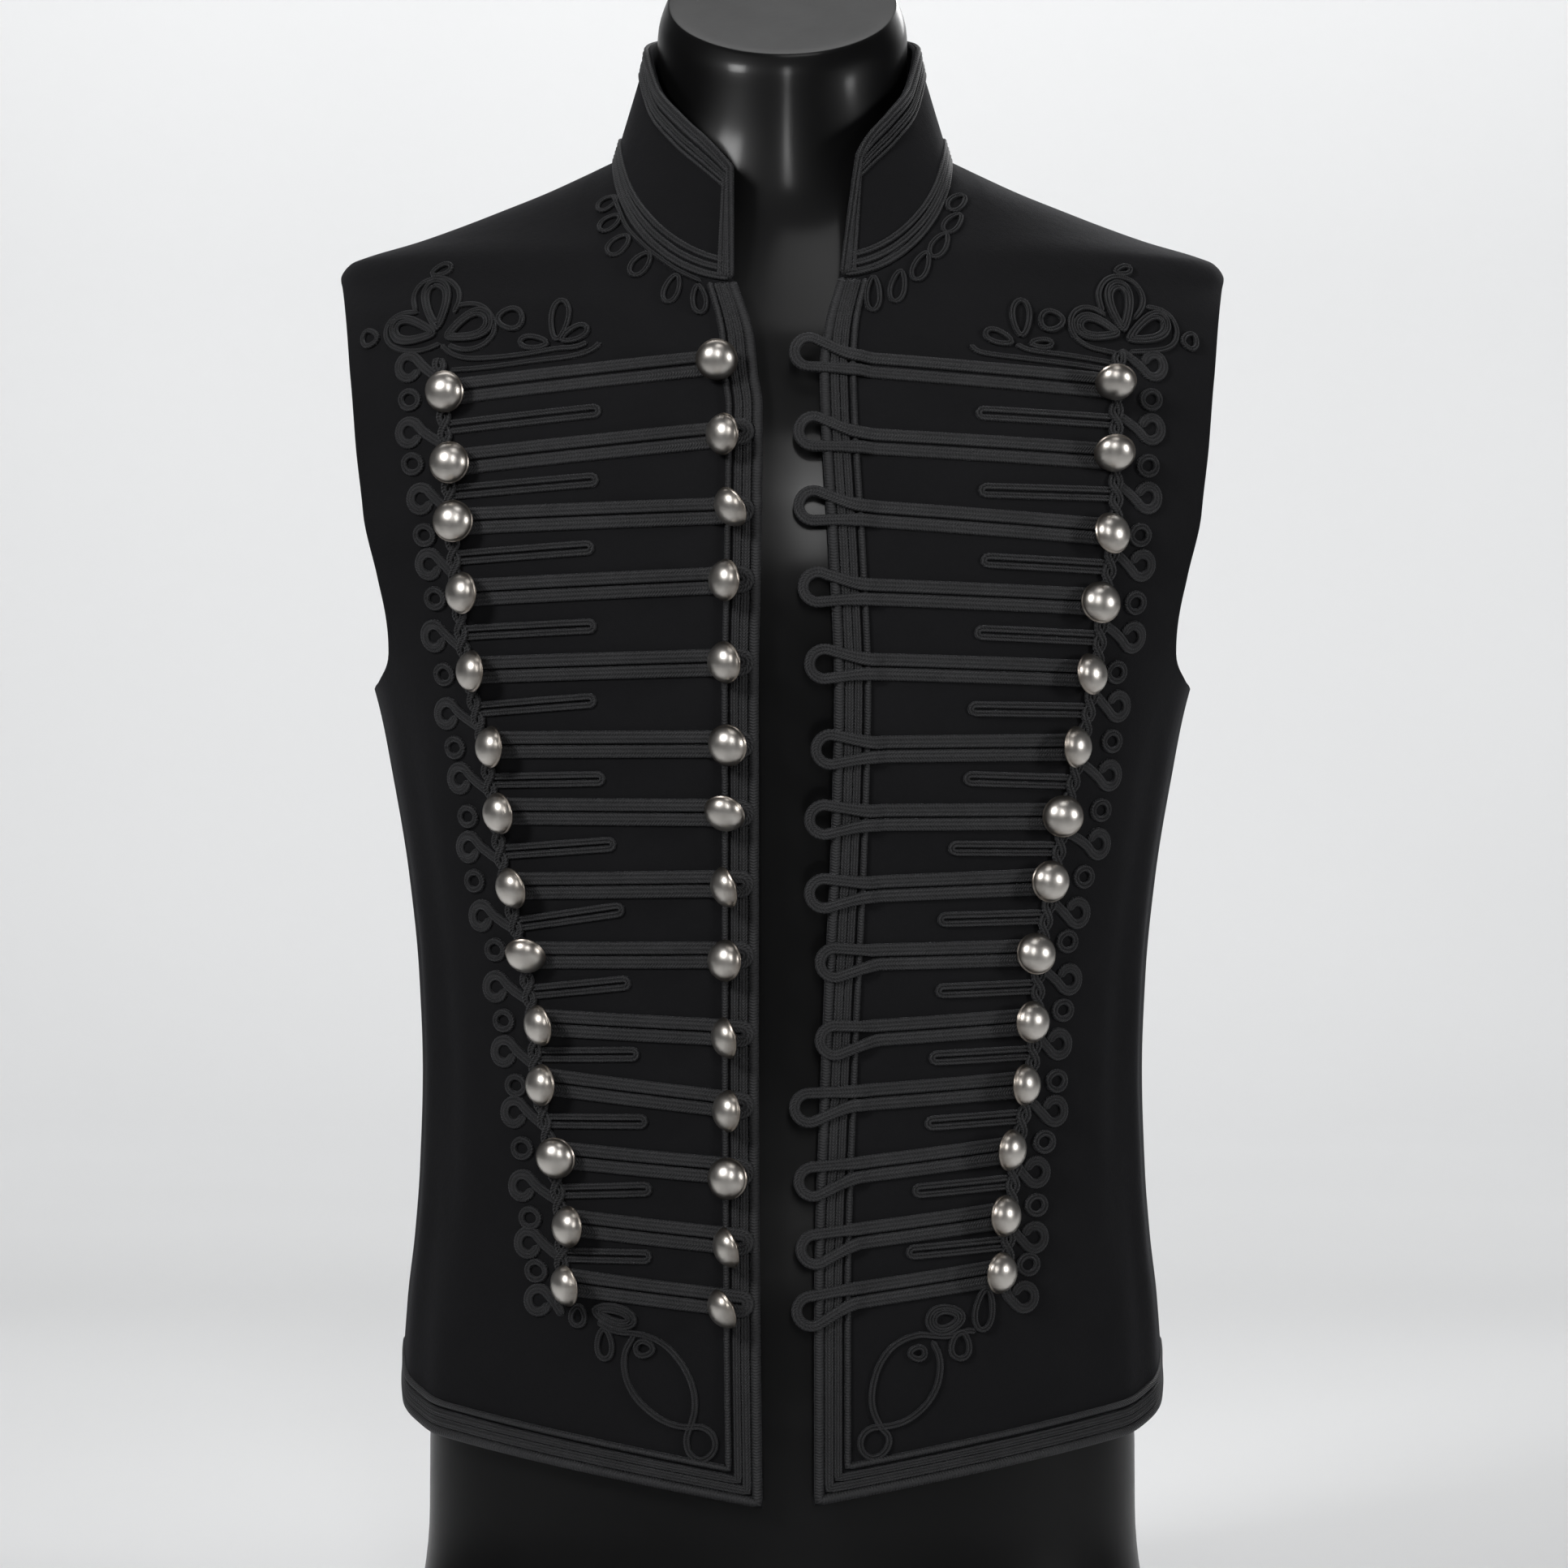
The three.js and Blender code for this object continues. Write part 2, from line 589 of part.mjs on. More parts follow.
function back() {
  const rows = ROWS_SEAM + ROWS_ARMHOLE;
  const bottom = hemLine(0, true);
  const neck = Array.from({ length: COLUMNS_TO_NECK + 1 }, (_, i) => {
    const angle = (seamAngle(NECK_POINT, true) * i) / COLUMNS_TO_NECK;
    return [roundAt(angle, NECK_POINT, true), NECK_POINT];
  });
  const top = [...neck, ...shoulderLine(true).slice(1)];
  const middle = Array.from({ length: rows + 1 }, (_, i) => [
    0, THREE.MathUtils.lerp(bottom[0][1], NECK_POINT, i / rows)]);
  const right = [...seamLine(true), ...armholeLine(true).slice(1)];
  const face = (out) => {
    const half = patch(bottom, top, middle, right, out, true);
    const mirrored = flip(half);
    return half.map((row, i) => [...mirrored[i].slice(1).reverse(), ...row]);
  };
  return wall(face(0), face(-CLOTH));
}

// The collar, in its own coordinates: u from 0 at the front corner to 2 at
// the centre back, v from 0 at the neckline to 1 at the top edge.
function collarFoot(side, u) {
  if (u <= 1) {
    const [round, z] = necklinePoint(side, u);
    return lay(round, z);
  }
  const angle = (Math.PI / 2) * (u - 1);
  return bodyPoint(Math.PI / 2 + angle, NECK_POINT);
}

const collarX = curve(COLLAR_TOP, 'x', 'u');
const collarY = curve(COLLAR_TOP, 'y', 'u');
const collarZ = curve(COLLAR_TOP, 'z', 'u');

function collarHead(side, u) {
  const head = new THREE.Vector3(collarX(u), collarY(u), collarZ(u));
  if (side === 'left') {
    const share = Math.max(0, 1 - u) ** 2;
    head.x += share * (COLLAR_CORNER_LEFT.x - collarX(0));
    head.y += share * (COLLAR_CORNER_LEFT.y - collarY(0));
    head.z += share * (COLLAR_CORNER_LEFT.z - collarZ(0));
  }
  return head;
}

function collarSkin(side, u, v) {
  const foot = collarFoot(side, u);
  return foot.lerp(collarHead(side, u), v);
}

function collarPoint(side, u, v, out) {
  const along = collarSkin(side, u + 0.01, v).sub(collarSkin(side, u - 0.01, v));
  const up = collarSkin(side, u, 1).sub(collarSkin(side, u, 0));
  const length = up.length();
  const p = collarSkin(side, u, v + (SEAM / length) * (1 - v));
  p.addScaledVector(along.cross(up).normalize(), out);
  if (side === 'right') p.x = -p.x;
  return p;
}

// Columns round the whole collar from the right front corner to the left.
function collarColumns() {
  const steps = Array.from({ length: COLLAR_COLUMNS }, (_, k) => (2 * k) / COLLAR_COLUMNS);
  return [...steps.map((u) => ['right', u]), ['left', 2], ...steps.reverse().map((u) => ['left', u])];
}

function collar() {
  const face = (out) => Array.from({ length: COLLAR_ROWS + 1 }, (_, i) => collarColumns()
    .map(([side, u]) => collarPoint(side, Math.min(u, 1.999), i / COLLAR_ROWS, out)));
  return wall(face(0), face(-CLOTH));
}

// Braid on the collar: up one front edge, round the top and down the other.
function collarBraid() {
  const edge = (COLLAR_BRAID / 2 + BAND_INSET) / COLLAR_GIRTH;
  const top = 1 - (COLLAR_BRAID / 2 + BAND_INSET) / COLLAR_HEIGHT;
  const foot = 0.05;
  const steps = 8;
  const corner = 2 * COLLAR_GIRTH;
  const half = [[edge, foot], [edge, 0.5], [edge, top]];
  for (let k = 1; k <= steps; k += 1) {
    half.push([edge + ((2 - edge) * k) / steps, top]);
  }
  const flat = half.map(([u, v]) => [u * COLLAR_GIRTH, v * COLLAR_HEIGHT]);
  const path = [...flat, ...flat.slice(0, -1).reverse().map(([a, b]) => [2 * corner - a, b])];
  const place = (a, b, out) => {
    const far = a > corner;
    const u = Math.min(1.999, (far ? 2 * corner - a : a) / COLLAR_GIRTH);
    return collarPoint(far ? 'left' : 'right', Math.max(0.012, u), b / COLLAR_HEIGHT, out);
  };
  return braid(path, COLLAR_BRAID, BAND_HEIGHT, RIDGED, { place });
}

// Moves pattern points of the left front to the wearer's right.
function sided(side, path) {
  return side === 'right' ? path.map(([a, ...rest]) => [-a, ...rest]) : path;
}

// The band narrows a little towards the neck.
function bandShare(z) {
  return 1 - BAND_NARROWER * THREE.MathUtils.smoothstep(z, 625, 680);
}

// Band along the front edge and the hem of one front.
function edgeBraid(side) {
  const edgeX = curve(EDGE, side);
  const inset = BAND_WIDTH / 2 + BAND_INSET;
  const topZ = NECKLINE[side].z - 3;
  const footAngle = Math.asin(edgeX(HEM_FRONT) / halfWidth(HEM_FRONT));
  const footZ = hemHeight(footAngle, false) + inset + HEM_RISE * inset;
  const rise = Array.from({ length: 11 }, (_, i) => {
    const z = THREE.MathUtils.lerp(topZ, footZ, (i / 10) ** 1.15);
    const share = bandShare(z);
    const [round] = seen(edgeX(z), z);
    return [round + (BAND_WIDTH / 2) * share + BAND_INSET, z, BAND_OUT, share];
  });
  const start = angleAt(rise[10][0], footZ);
  const hem = [];
  for (let j = 1; j <= HEM_STEPS; j += 1) {
    const angle = THREE.MathUtils.lerp(start, Math.PI / 2, j / HEM_STEPS);
    const z = hemHeight(angle, false) + inset;
    const stop = Math.min(angle, seamAngle(z, false));
    hem.push([roundAt(stop, z) - (j === HEM_STEPS ? BAND_GAP : 0), z, BAND_OUT]);
  }
  const path = [...rise, ...hem];
  return braid(sided(side, path), BAND_WIDTH, BAND_HEIGHT, BANDED, { upright: ['last'] });
}

function hemBraidBack() {
  const inset = BAND_WIDTH / 2 + BAND_INSET;
  const half = Array.from({ length: HEM_STEPS + 1 }, (_, j) => {
    const angle = (Math.PI / 2) * (j / HEM_STEPS);
    const z = hemHeight(angle, true) + inset;
    const stop = Math.min(angle, seamAngle(z, true));
    return [roundAt(stop, z, true) - (j === HEM_STEPS ? BAND_GAP : 0), z, BAND_OUT];
  });
  const path = [...half.slice(1).reverse().map(([a, ...rest]) => [-a, ...rest]), ...half];
  return braid(path, BAND_WIDTH, BAND_HEIGHT, BANDED, { upright: ['first', 'last'], behind: true });
}

// A closed curl of thin cord: round at one end, narrow at the other, raised a
// little above the cords that it joins.
function curl(side, [round, level], length, breadth, points, width, height, raised = 0.07) {
  const corners = length > 17 ? 6 : 5;
  const path = Array.from({ length: corners }, (_, k) => {
    const t = (2 * Math.PI * k) / corners;
    const along = (Math.cos(t) * (length - width)) / 2;
    const across = (Math.sin(t) * (breadth - width) / 2) * (0.72 + 0.28 * Math.cos(t));
    const turn = points * DEG;
    return [
      round + along * Math.cos(turn) - across * Math.sin(turn),
      level + along * Math.sin(turn) + across * Math.cos(turn),
      LAID + raised,
    ];
  });
  return braid(sided(side, path), width, height, ROUND, { closed: true });
}

function cord(side, points, width = SOUTACHE, height = SOUTACHE_HEIGHT) {
  const path = points.map(([x, z]) => seen(x, z));
  return braid(sided(side, path), width, height - 0.1, FLAT);
}

function scroll(side, rows, cords, width) {
  const curls = rows.x.map((x, k) => curl(
    side, seen(x, rows.z[k]), rows.length[k], rows.breadth[k], rows.points[k],
    width, SOUTACHE_HEIGHT + 0.03 * (k % 3), 0.05 + 0.04 * (k % 3)));
  return joined([...curls, ...cords.map((points) => cord(side, points))]);
}

// The scroll keeps clear of the left band, which stands further out.
function neckScroll(side) {
  const clear = (x, z) => (side === 'left' ? x + 4.5 * Math.max(0, (690 - z) / 23) : x);
  const line = cord(side, NECK_CORD.map(([x, z]) => [clear(x, z), z]));
  const rows = NECK_CURLS;
  const curls = rows.x.map((x, k) => curl(
    side, seen(clear(x, rows.z[k]), rows.z[k]), rows.length[k], rows.breadth[k], rows.points[k], 3.4,
    SOUTACHE_HEIGHT, 0.06 + 0.07 * (k % 2)));
  return joined([line, ...curls]);
}

// The chain of curls beside the spine, one between each two rows.
function chain(side, rows) {
  const curls = [];
  const last = rows.outer_x.length - 1;
  const beside = (x, z) => {
    const [round, level] = seen(x, z);
    return [round + CHAIN_OUT, level];
  };
  const large = (x, z) => curl(side, beside(x, z), 24, 14, 18, 4.4, 1.6);
  rows.outer_x.forEach((x, k) => {
    const z = rows.outer_z[k];
    const nextX = k < last ? rows.outer_x[k + 1] : x + 1;
    const nextZ = k < last ? rows.outer_z[k + 1] : z - 14;
    curls.push(large((x + nextX) / 2, (z + nextZ) / 2 + 3));
  });
  curls.push(large(rows.outer_x[0] + 1, rows.outer_z[0] + 12));
  return curls;
}

// Path of a bar: over the band from its inner end, down beside the band's
// inner edge, then on the cloth to the spine.
function barPath(side, innerX, innerZ, outerX, outerZ) {
  const slope = (outerZ - innerZ) / (outerX - innerX);
  const level = (x) => innerZ + slope * (x - innerX);
  const edge = curve(EDGE, side)(innerZ) + BAND_INSET + BAND_WIDTH * bandShare(innerZ);
  const rest = Array.from({ length: BAR_STEPS }, (_, i) => THREE.MathUtils.lerp(
    edge + BAR_LANDS, outerX, (i + 1) / BAR_STEPS));
  const marks = [[innerX, OVER_BAND], [edge + BAR_FALLS, OVER_BAND], [edge + BAR_LANDS, BAR_LAID],
    ...rest.map((x) => [x, BAR_LAID])];
  return marks.map(([x, out]) => [...seen(x, level(x)), out]);
}

function frogging(side) {
  const rows = side === 'right' ? RIGHT_ROWS : LEFT_ROWS;
  const parts = [];
  rows.outer_x.forEach((outerX, k) => {
    const outerZ = rows.outer_z[k];
    const innerX = side === 'right' ? BAR_END : rows.loop_x[k] + LOOP_LENGTH;
    const innerZ = side === 'right' ? rows.inner_z[k] : rows.loop_z[k];
    const path = barPath(side, innerX, innerZ, outerX, outerZ);
    parts.push(braid(sided(side, path), BAR_WIDTH, BAR_HEIGHT, RIDGED));
    const aboveZ = k === 0 ? outerZ + 26 : rows.outer_z[k - 1];
    const rootX = k === 0 ? outerX : (outerX + rows.outer_x[k - 1]) / 2;
    const pin = stepped([[rows.pin_x[k], rows.pin_z[k]], [rootX, (outerZ + aboveZ) / 2]], 3);
    parts.push(braid(sided(side, pin.map(([x, z]) => seen(x, z))), PIN_WIDTH, SOUTACHE_HEIGHT, ROUND));
    if (side === 'left') {
      const ring = Array.from({ length: LOOP_CORNERS }, (_, i) => {
        const t = (2 * Math.PI * i) / LOOP_CORNERS;
        const x = rows.loop_x[k] + LOOP_MIDDLE + Math.cos(t) * LOOP_REACH;
        const z = rows.loop_z[k] + Math.sin(t) * LOOP_RISE * (0.8 - 0.2 * Math.cos(t));
        return [...seen(x, z), OVER_BAND + 0.08];
      });
      parts.push(braid(ring, CORD, BAR_HEIGHT + 0.07, ROUND, { closed: true }));
    }
  });
  const lastRow = rows.outer_x.length - 1;
  const spine = rows.outer_x.map((x, k) => [x, rows.outer_z[k]]);
  spine.unshift([rows.outer_x[0] + 2, rows.outer_z[0] + 15]);
  spine.push([rows.outer_x[lastRow] - 1, rows.outer_z[lastRow] - 9]);
  const spinePath = spine.map(([x, z]) => [...seen(x, z), BAR_LAID - 0.1]);
  parts.push(braid(sided(side, spinePath), SPINE_WIDTH, SPINE_HEIGHT, FLAT));
  return joined([...parts, ...chain(side, rows)]);
}

// A domed button on its shank: profile from the top of the dome to the foot.
const BUTTON_PROFILE = [
  [0, BUTTON_DOME], [0.66 * BUTTON_RADIUS, 0.76 * BUTTON_DOME], [BUTTON_RADIUS, 0.2 * BUTTON_DOME],
  [SHANK_RADIUS, 0], [SHANK_RADIUS, -SHANK_LENGTH], [0, -SHANK_LENGTH],
];

function buttonSolid() {
  const profile = BUTTON_PROFILE.map(([r, y]) => new THREE.Vector2(r, y)).reverse();
  const lathe = new THREE.LatheGeometry(profile, BUTTON_SIDES);
  lathe.deleteAttribute('normal');
  lathe.deleteAttribute('uv');
  const bare = mergeVertices(lathe, 1e-4);
  const points = [];
  const position = bare.attributes.position;
  for (let k = 0; k < position.count; k += 1) {
    points.push(new THREE.Vector3().fromBufferAttribute(position, k));
  }
  const faces = [];
  for (let k = 0; k < bare.index.count; k += 3) {
    const [a, b, c] = [0, 1, 2].map((n) => bare.index.getX(k + n));
    if (a !== b && b !== c && a !== c) faces.push([a, b, c]);
  }
  return { points, faces };
}

const group = new THREE.Group();

function add(name, geometry, finish) {
  const mesh = new THREE.Mesh(geometry, new THREE.MeshStandardMaterial(COLOURS[finish]));
  mesh.name = name;
  group.add(mesh);
  return mesh;
}

function corners(mesh) {
  const { position } = mesh.geometry.attributes;
  return Array.from({ length: position.count }, (_, k) => mesh.localToWorld(
    new THREE.Vector3().fromBufferAttribute(position, k)));
}

// Lowers a mesh onto the named ones under it until a small gap is left: rays run
// down from its corners and up from theirs.
function settle(mesh, names, up) {
  mesh.updateMatrixWorld(true);
  const under = names.map((name) => group.getObjectByName(name));
  const down = up.clone().negate();
  const hits = [];
  const cast = (from, targets, way) => {
    hits.push(...new THREE.Raycaster(from, way).intersectObjects(targets, false));
  };
  corners(mesh).forEach((p) => cast(p, under, down));
  under.flatMap(corners)
    .filter((p) => p.distanceTo(mesh.position) < 4 * BUTTON_RADIUS)
    .forEach((p) => cast(p, [mesh], up));
  const drop = Math.min(...hits.map((hit) => hit.distance));
  mesh.position.addScaledVector(down, drop - BUTTON_GAP);
}

// A button with its face turned and nodded, lowered onto the braid under it. It
// stands out from the slanting cloth, so its foot is moved until the middle of
// its dome is x across and z up.
function addButton(name, side, x, z, turn, nod) {
  const { points, faces } = buttonSolid();
  const axis = new THREE.Vector3(
    Math.sin(turn * DEG) * Math.cos(nod * DEG),
    -Math.cos(turn * DEG) * Math.cos(nod * DEG),
    Math.sin(nod * DEG),
  );
  const swing = new THREE.Quaternion().setFromUnitVectors(new THREE.Vector3(0, 1, 0), axis);
  const turned = points.map((p) => p.clone().applyQuaternion(swing));
  const mesh = add(name, solid(turned, faces), 'button');
  const mirror = side === 'right' ? -1 : 1;
  let [footX, footZ] = [x, z];
  for (let k = 0; k < BUTTON_TRIES; k += 1) {
    const [round, level] = seen(footX, footZ);
    const normal = bodyNormal(angleAt(mirror * round, level), level);
    mesh.position.copy(lay(mirror * round, level, 2 * BUTTON_RADIUS));
    settle(mesh, [`frogging_${side}`, `edge_braid_${side}`, `front_${side}`], normal);
    const dome = mesh.position.clone().addScaledVector(axis, BUTTON_DOME / 2);
    footX += x - mirror * dome.x;
    footZ += z - dome.z;
  }
}

// The form: the cloth's shape drawn in, arms cut off flat, a slanted neck.
const inside = curve(CLEARANCE, 'inside');

// The throat, which no cloth covers, runs smoothly into the front of the neck.
function formRing(height) {
  const drawnIn = inside(height);
  const frontInside = THROAT_INSIDE * (1 - THREE.MathUtils.smoothstep(height, 712, 750));
  const throat = THREE.MathUtils.smoothstep(height, 650, 690) * (drawnIn - frontInside);
  const at = (angle) => bodyPoint(angle, height).addScaledVector(
    bodyNormal(angle, height), throat * Math.max(0, Math.cos(angle)) ** 12 - drawnIn);
  const cut = (from, to) => {
    let [low, high] = [from, to];
    for (let k = 0; k < 24; k += 1) {
      const mid = (low + high) / 2;
      if (at(mid).x < ARM_CAP) low = mid;
      else high = mid;
    }
    return low;
  };
  const wide = height > UNDERARM && at(Math.PI / 2).x > ARM_CAP;
  const near = wide ? cut(0.3, Math.PI / 2) : 66 * DEG;
  const far = wide ? cut(Math.PI - 0.3, Math.PI / 2) : 114 * DEG;
  const ring = [];
  for (let k = 0; k < FORM_FRONT_STEPS; k += 1) ring.push(at((near * k) / FORM_FRONT_STEPS));
  for (let k = 0; k <= FORM_SIDE_STEPS; k += 1) {
    const t = k / FORM_SIDE_STEPS;
    ring.push(wide ? at(near).lerp(at(far), t) : at(THREE.MathUtils.lerp(near, far, t)));
  }
  for (let k = 1; k <= FORM_FRONT_STEPS; k += 1) {
    ring.push(at(THREE.MathUtils.lerp(far, Math.PI, k / FORM_FRONT_STEPS)));
  }
  return ring;
}

function neckRing(k) {
  const steps = 2 * FORM_FRONT_STEPS + FORM_SIDE_STEPS;
  return Array.from({ length: steps + 1 }, (_, j) => {
    const angle = (Math.PI * j) / steps;
    const ahead = Math.cos(angle);
    const y = ahead > 0 ? -NECK.front[k] * ahead : -NECK.back[k] * ahead;
    return new THREE.Vector3(NECK.half_width[k] * Math.sin(angle), y, NECK.height[k] + NECK.tilt[k] * y);
  });
}

function form() {
  const heights = [0, 119, 165, 230, 295, 360, 439, 482, 487, 540, 590, 635, 662, 680, 692, 703, 719, 736];
  const halves = [...heights.map(formRing), ...NECK.height.map((_, k) => neckRing(k))];
  halves[0].forEach((p) => { p.z = 0; });
  const rings = halves.map((half) => {
    half[0].x = 0;
    half[half.length - 1].x = 0;
    const other = half.slice(1, -1).reverse().map((p) => new THREE.Vector3(-p.x, p.y, p.z));
    return [...half, ...other];
  });
  return tube(rings);
}

add('form', form(), 'form');
add('back', back(), 'cloth');
add('front_right', front('right'), 'cloth');
add('front_left', front('left'), 'cloth');
add('collar', collar(), 'cloth');
add('collar_braid', collarBraid(), 'braid');
add('hem_braid_back', hemBraidBack(), 'braid');
for (const side of ['right', 'left']) {
  add(`edge_braid_${side}`, edgeBraid(side), 'braid');
  add(`frogging_${side}`, frogging(side), 'braid');
  add(`shoulder_knot_${side}`, scroll(side, KNOT, KNOT_CORDS, 4.2), 'braid');
  add(`neck_scroll_${side}`, neckScroll(side), 'braid');
  add(`corner_scroll_${side}`, scroll(side, CORNER, CORNER_CORDS, 3.4), 'braid');
}

for (let k = 0; k < RIGHT_ROWS.outer_x.length; k += 1) {
  const row = String(k + 1).padStart(2, '0');
  const r = Object.fromEntries(Object.entries(RIGHT_ROWS).map(([key, list]) => [key, list[k]]));
  const l = Object.fromEntries(Object.entries(LEFT_ROWS).map(([key, list]) => [key, list[k]]));
  addButton(`button_right_outer_${row}`, 'right', r.outer_x, r.outer_z, r.outer_turn, r.outer_nod);
  addButton(`button_right_inner_${row}`, 'right', r.inner_x, r.inner_z, r.inner_turn, r.inner_nod);
  addButton(`button_left_outer_${row}`, 'left', l.outer_x, l.outer_z, l.outer_turn, l.outer_nod);
}

// The origin is under the middle of the whole, at the form's flat base.
group.updateMatrixWorld(true);
const bounds = new THREE.Box3().setFromObject(group, true);
const middle = bounds.getCenter(new THREE.Vector3());
group.position.set(-middle.x, -middle.y, -bounds.min.z);

export default group;
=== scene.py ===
# %% [markdown]
# Braided waistcoat on a dress form.
# A waistcoat like this is cut from black felted wool in a few panels, and then dressed with metres
# of black braid: a broad band round the edges, bars of heavy cord across the chest, and curls of
# thin cord beside them. The lesson builds each of these on one smooth shape, the worn cloth.
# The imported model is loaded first, because it fixes the size and place of every piece.

# %% Load the fixed frame
import math

import bpy
import numpy as np
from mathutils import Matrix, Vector


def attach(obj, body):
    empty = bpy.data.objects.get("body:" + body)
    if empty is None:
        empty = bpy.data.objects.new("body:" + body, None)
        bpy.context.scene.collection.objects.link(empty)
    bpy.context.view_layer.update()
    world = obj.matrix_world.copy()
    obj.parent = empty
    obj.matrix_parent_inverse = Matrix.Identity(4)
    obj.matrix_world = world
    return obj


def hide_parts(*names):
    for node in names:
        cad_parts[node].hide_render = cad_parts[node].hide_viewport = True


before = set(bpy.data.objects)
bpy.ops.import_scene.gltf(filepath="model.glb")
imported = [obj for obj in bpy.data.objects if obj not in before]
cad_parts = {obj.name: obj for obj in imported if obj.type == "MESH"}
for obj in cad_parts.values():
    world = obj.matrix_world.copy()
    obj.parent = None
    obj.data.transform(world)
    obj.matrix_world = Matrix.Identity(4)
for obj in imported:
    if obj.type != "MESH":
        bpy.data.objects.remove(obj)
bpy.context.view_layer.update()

# %% [markdown]
# The shape is described in millimetres, as a tailor would, with the wearer's middle plane at y = 0
# and the front towards -y. Blender works in metres, so every point is scaled once, when its mesh
# is made, and moved back by the distance between that middle plane and the middle of the frame.

# %% Units and the place of the middle plane
MM = 0.001
MIDDLE_Y = 11.631                # mm that the wearer's middle plane lies behind the frame's


def in_frame(points):
    """Millimetres about the wearer's middle plane, as metres in the frame."""
    return (np.asarray(points, float) + (0, MIDDLE_Y, 0)) * MM


# %% [markdown]
# The photograph was taken level, from in front and from a little below the middle of the chest.
# A long lens is set by what it takes in: 772.8 mm of the middle plane from 2.8 m away. Setting the
# camera by real distances keeps the same perspective as the photograph.

# %% Camera
CAMERA_AWAY = 2800
FRAME_WIDE = 772.8               # mm of the middle plane across the picture
CAMERA_HEIGHT = 436.4
CAMERA_SIDE = 0.8

camera_data = bpy.data.cameras.new("camera")
camera_data.sensor_width = 36
camera_data.lens = camera_data.sensor_width * CAMERA_AWAY / FRAME_WIDE
camera = bpy.data.objects.new("camera", camera_data)
bpy.context.scene.collection.objects.link(camera)
camera.location = in_frame((CAMERA_SIDE, -CAMERA_AWAY, CAMERA_HEIGHT))
camera.rotation_euler = (math.radians(90), 0, 0)
camera_data.clip_end = 60
bpy.context.scene.camera = camera
print("lens", round(camera_data.lens, 1), "mm")

# %% [markdown]
# Materials are built from nodes. A short helper adds one node, sets its inputs and links any input
# that is given as another node's output, so that each finish below reads like a recipe.


# %% Helper for material nodes
def node(tree, kind, inputs=None, **settings):
    """Adds one node: settings are its properties, inputs are numbers, colours or other outputs."""
    made = tree.nodes.new(kind)
    for key, value in settings.items():
        setattr(made, key, value)
    for key, value in (inputs or {}).items():
        if isinstance(value, bpy.types.NodeSocket):
            tree.links.new(value, made.inputs[key])
        else:
            made.inputs[key].default_value = value
    return made


def new_finish(name, **constants):
    """A material with one Principled shader, whose constant sockets are set here."""
    material = bpy.data.materials.new(name)
    material.use_nodes = True
    shader = material.node_tree.nodes["Principled BSDF"]
    for key, value in constants.items():
        shader.inputs[key.replace("_", " ")].default_value = value
    return material, material.node_tree, shader


def blend_colours(tree, share, low, high):
    """A colour between low, where share is 0, and high, where it is 1."""
    ramp = node(tree, "ShaderNodeValToRGB", {"Fac": share})
    ramp.color_ramp.elements[0].color = (*low, 1)
    ramp.color_ramp.elements[1].color = (*high, 1)
    return ramp.outputs["Color"]


def noise(tree, where, scale, detail=4.0, roughness=0.6):
    """Cloudy noise of about 1 / scale metres."""
    made = node(tree, "ShaderNodeTexNoise", {
        "Vector": where, "Scale": scale, "Detail": detail, "Roughness": roughness})
    return made.outputs["Fac"]


def math_node(tree, operation, first, second=0.0):
    """One arithmetic step on numbers or outputs."""
    return node(tree, "ShaderNodeMath", {0: first, 1: second}, operation=operation).outputs[0]


def times(tree, first, second):
    """A product."""
    return math_node(tree, "MULTIPLY", first, second)


def plus(tree, first, second):
    """A sum."""
    return math_node(tree, "ADD", first, second)


def wave(tree, kind, turn):
    """A sine or cosine moved to between 0 and 1."""
    return plus(tree, times(tree, math_node(tree, kind, turn), 0.5), 0.5)


def on_piece(tree):
    """The Object coordinates, in which noise stays on the piece."""
    return node(tree, "ShaderNodeTexCoord").outputs["Object"]


def bump(tree, height, distance, strength, **below):
    """The normal of a relief, distance metres deep, on top of an optional Normal below it."""
    inputs = {"Height": height, "Distance": distance, "Strength": strength, **below}
    return node(tree, "ShaderNodeBump", inputs).outputs["Normal"]


def spread_over(tree, share, low, high, **ends):
    """A share of 0 to 1, or between the ends that are given, moved to between low and high."""
    inputs = {"Value": share, "To Min": low, "To Max": high}
    inputs.update({key.replace("_", " "): value for key, value in ends.items()})
    return node(tree, "ShaderNodeMapRange", inputs).outputs["Result"]


def finish_with(tree, shader, **outputs):
    """Links outputs to the shader's sockets and prints the names of these sockets."""
    for key, value in outputs.items():
        tree.links.new(value, shader.inputs[key.replace("_", " ")])
    print("finish with", ", ".join(outputs))


# %% [markdown]
# Felted wool hardly shows its weave: the surface is a short nap of fibres that catches light at
# grazing angles. So the colour is nearly flat and very dark, with a soft cloudiness, a fine bump
# gives the fibres, and sheen gives the pale edge that a nap has.

# %% Finish of the wool
WOOL_DARK = (0.0042, 0.0042, 0.0046)
WOOL_LIGHT = (0.0125, 0.0124, 0.0136)
wool, tree, shader = new_finish(
    "black_wool", Roughness=0.92, Sheen_Weight=0.05, Sheen_Roughness=0.45,
    Sheen_Tint=(0.75, 0.77, 0.85, 1), Specular_IOR_Level=0.12)
where = on_piece(tree)
fibres = noise(tree, where, 1400, 3.0, 0.7)
clouds = noise(tree, where, 24, 5.0)
mixed = plus(tree, times(tree, fibres, 0.55), times(tree, clouds, 0.45))
nap = bump(tree, fibres, 0.0004, 0.5)
slub = bump(tree, noise(tree, where, 160, 2.0), 0.0006, 0.35, Normal=nap)
finish_with(tree, shader, Base_Color=blend_colours(tree, mixed, WOOL_DARK, WOOL_LIGHT), Normal=slub)

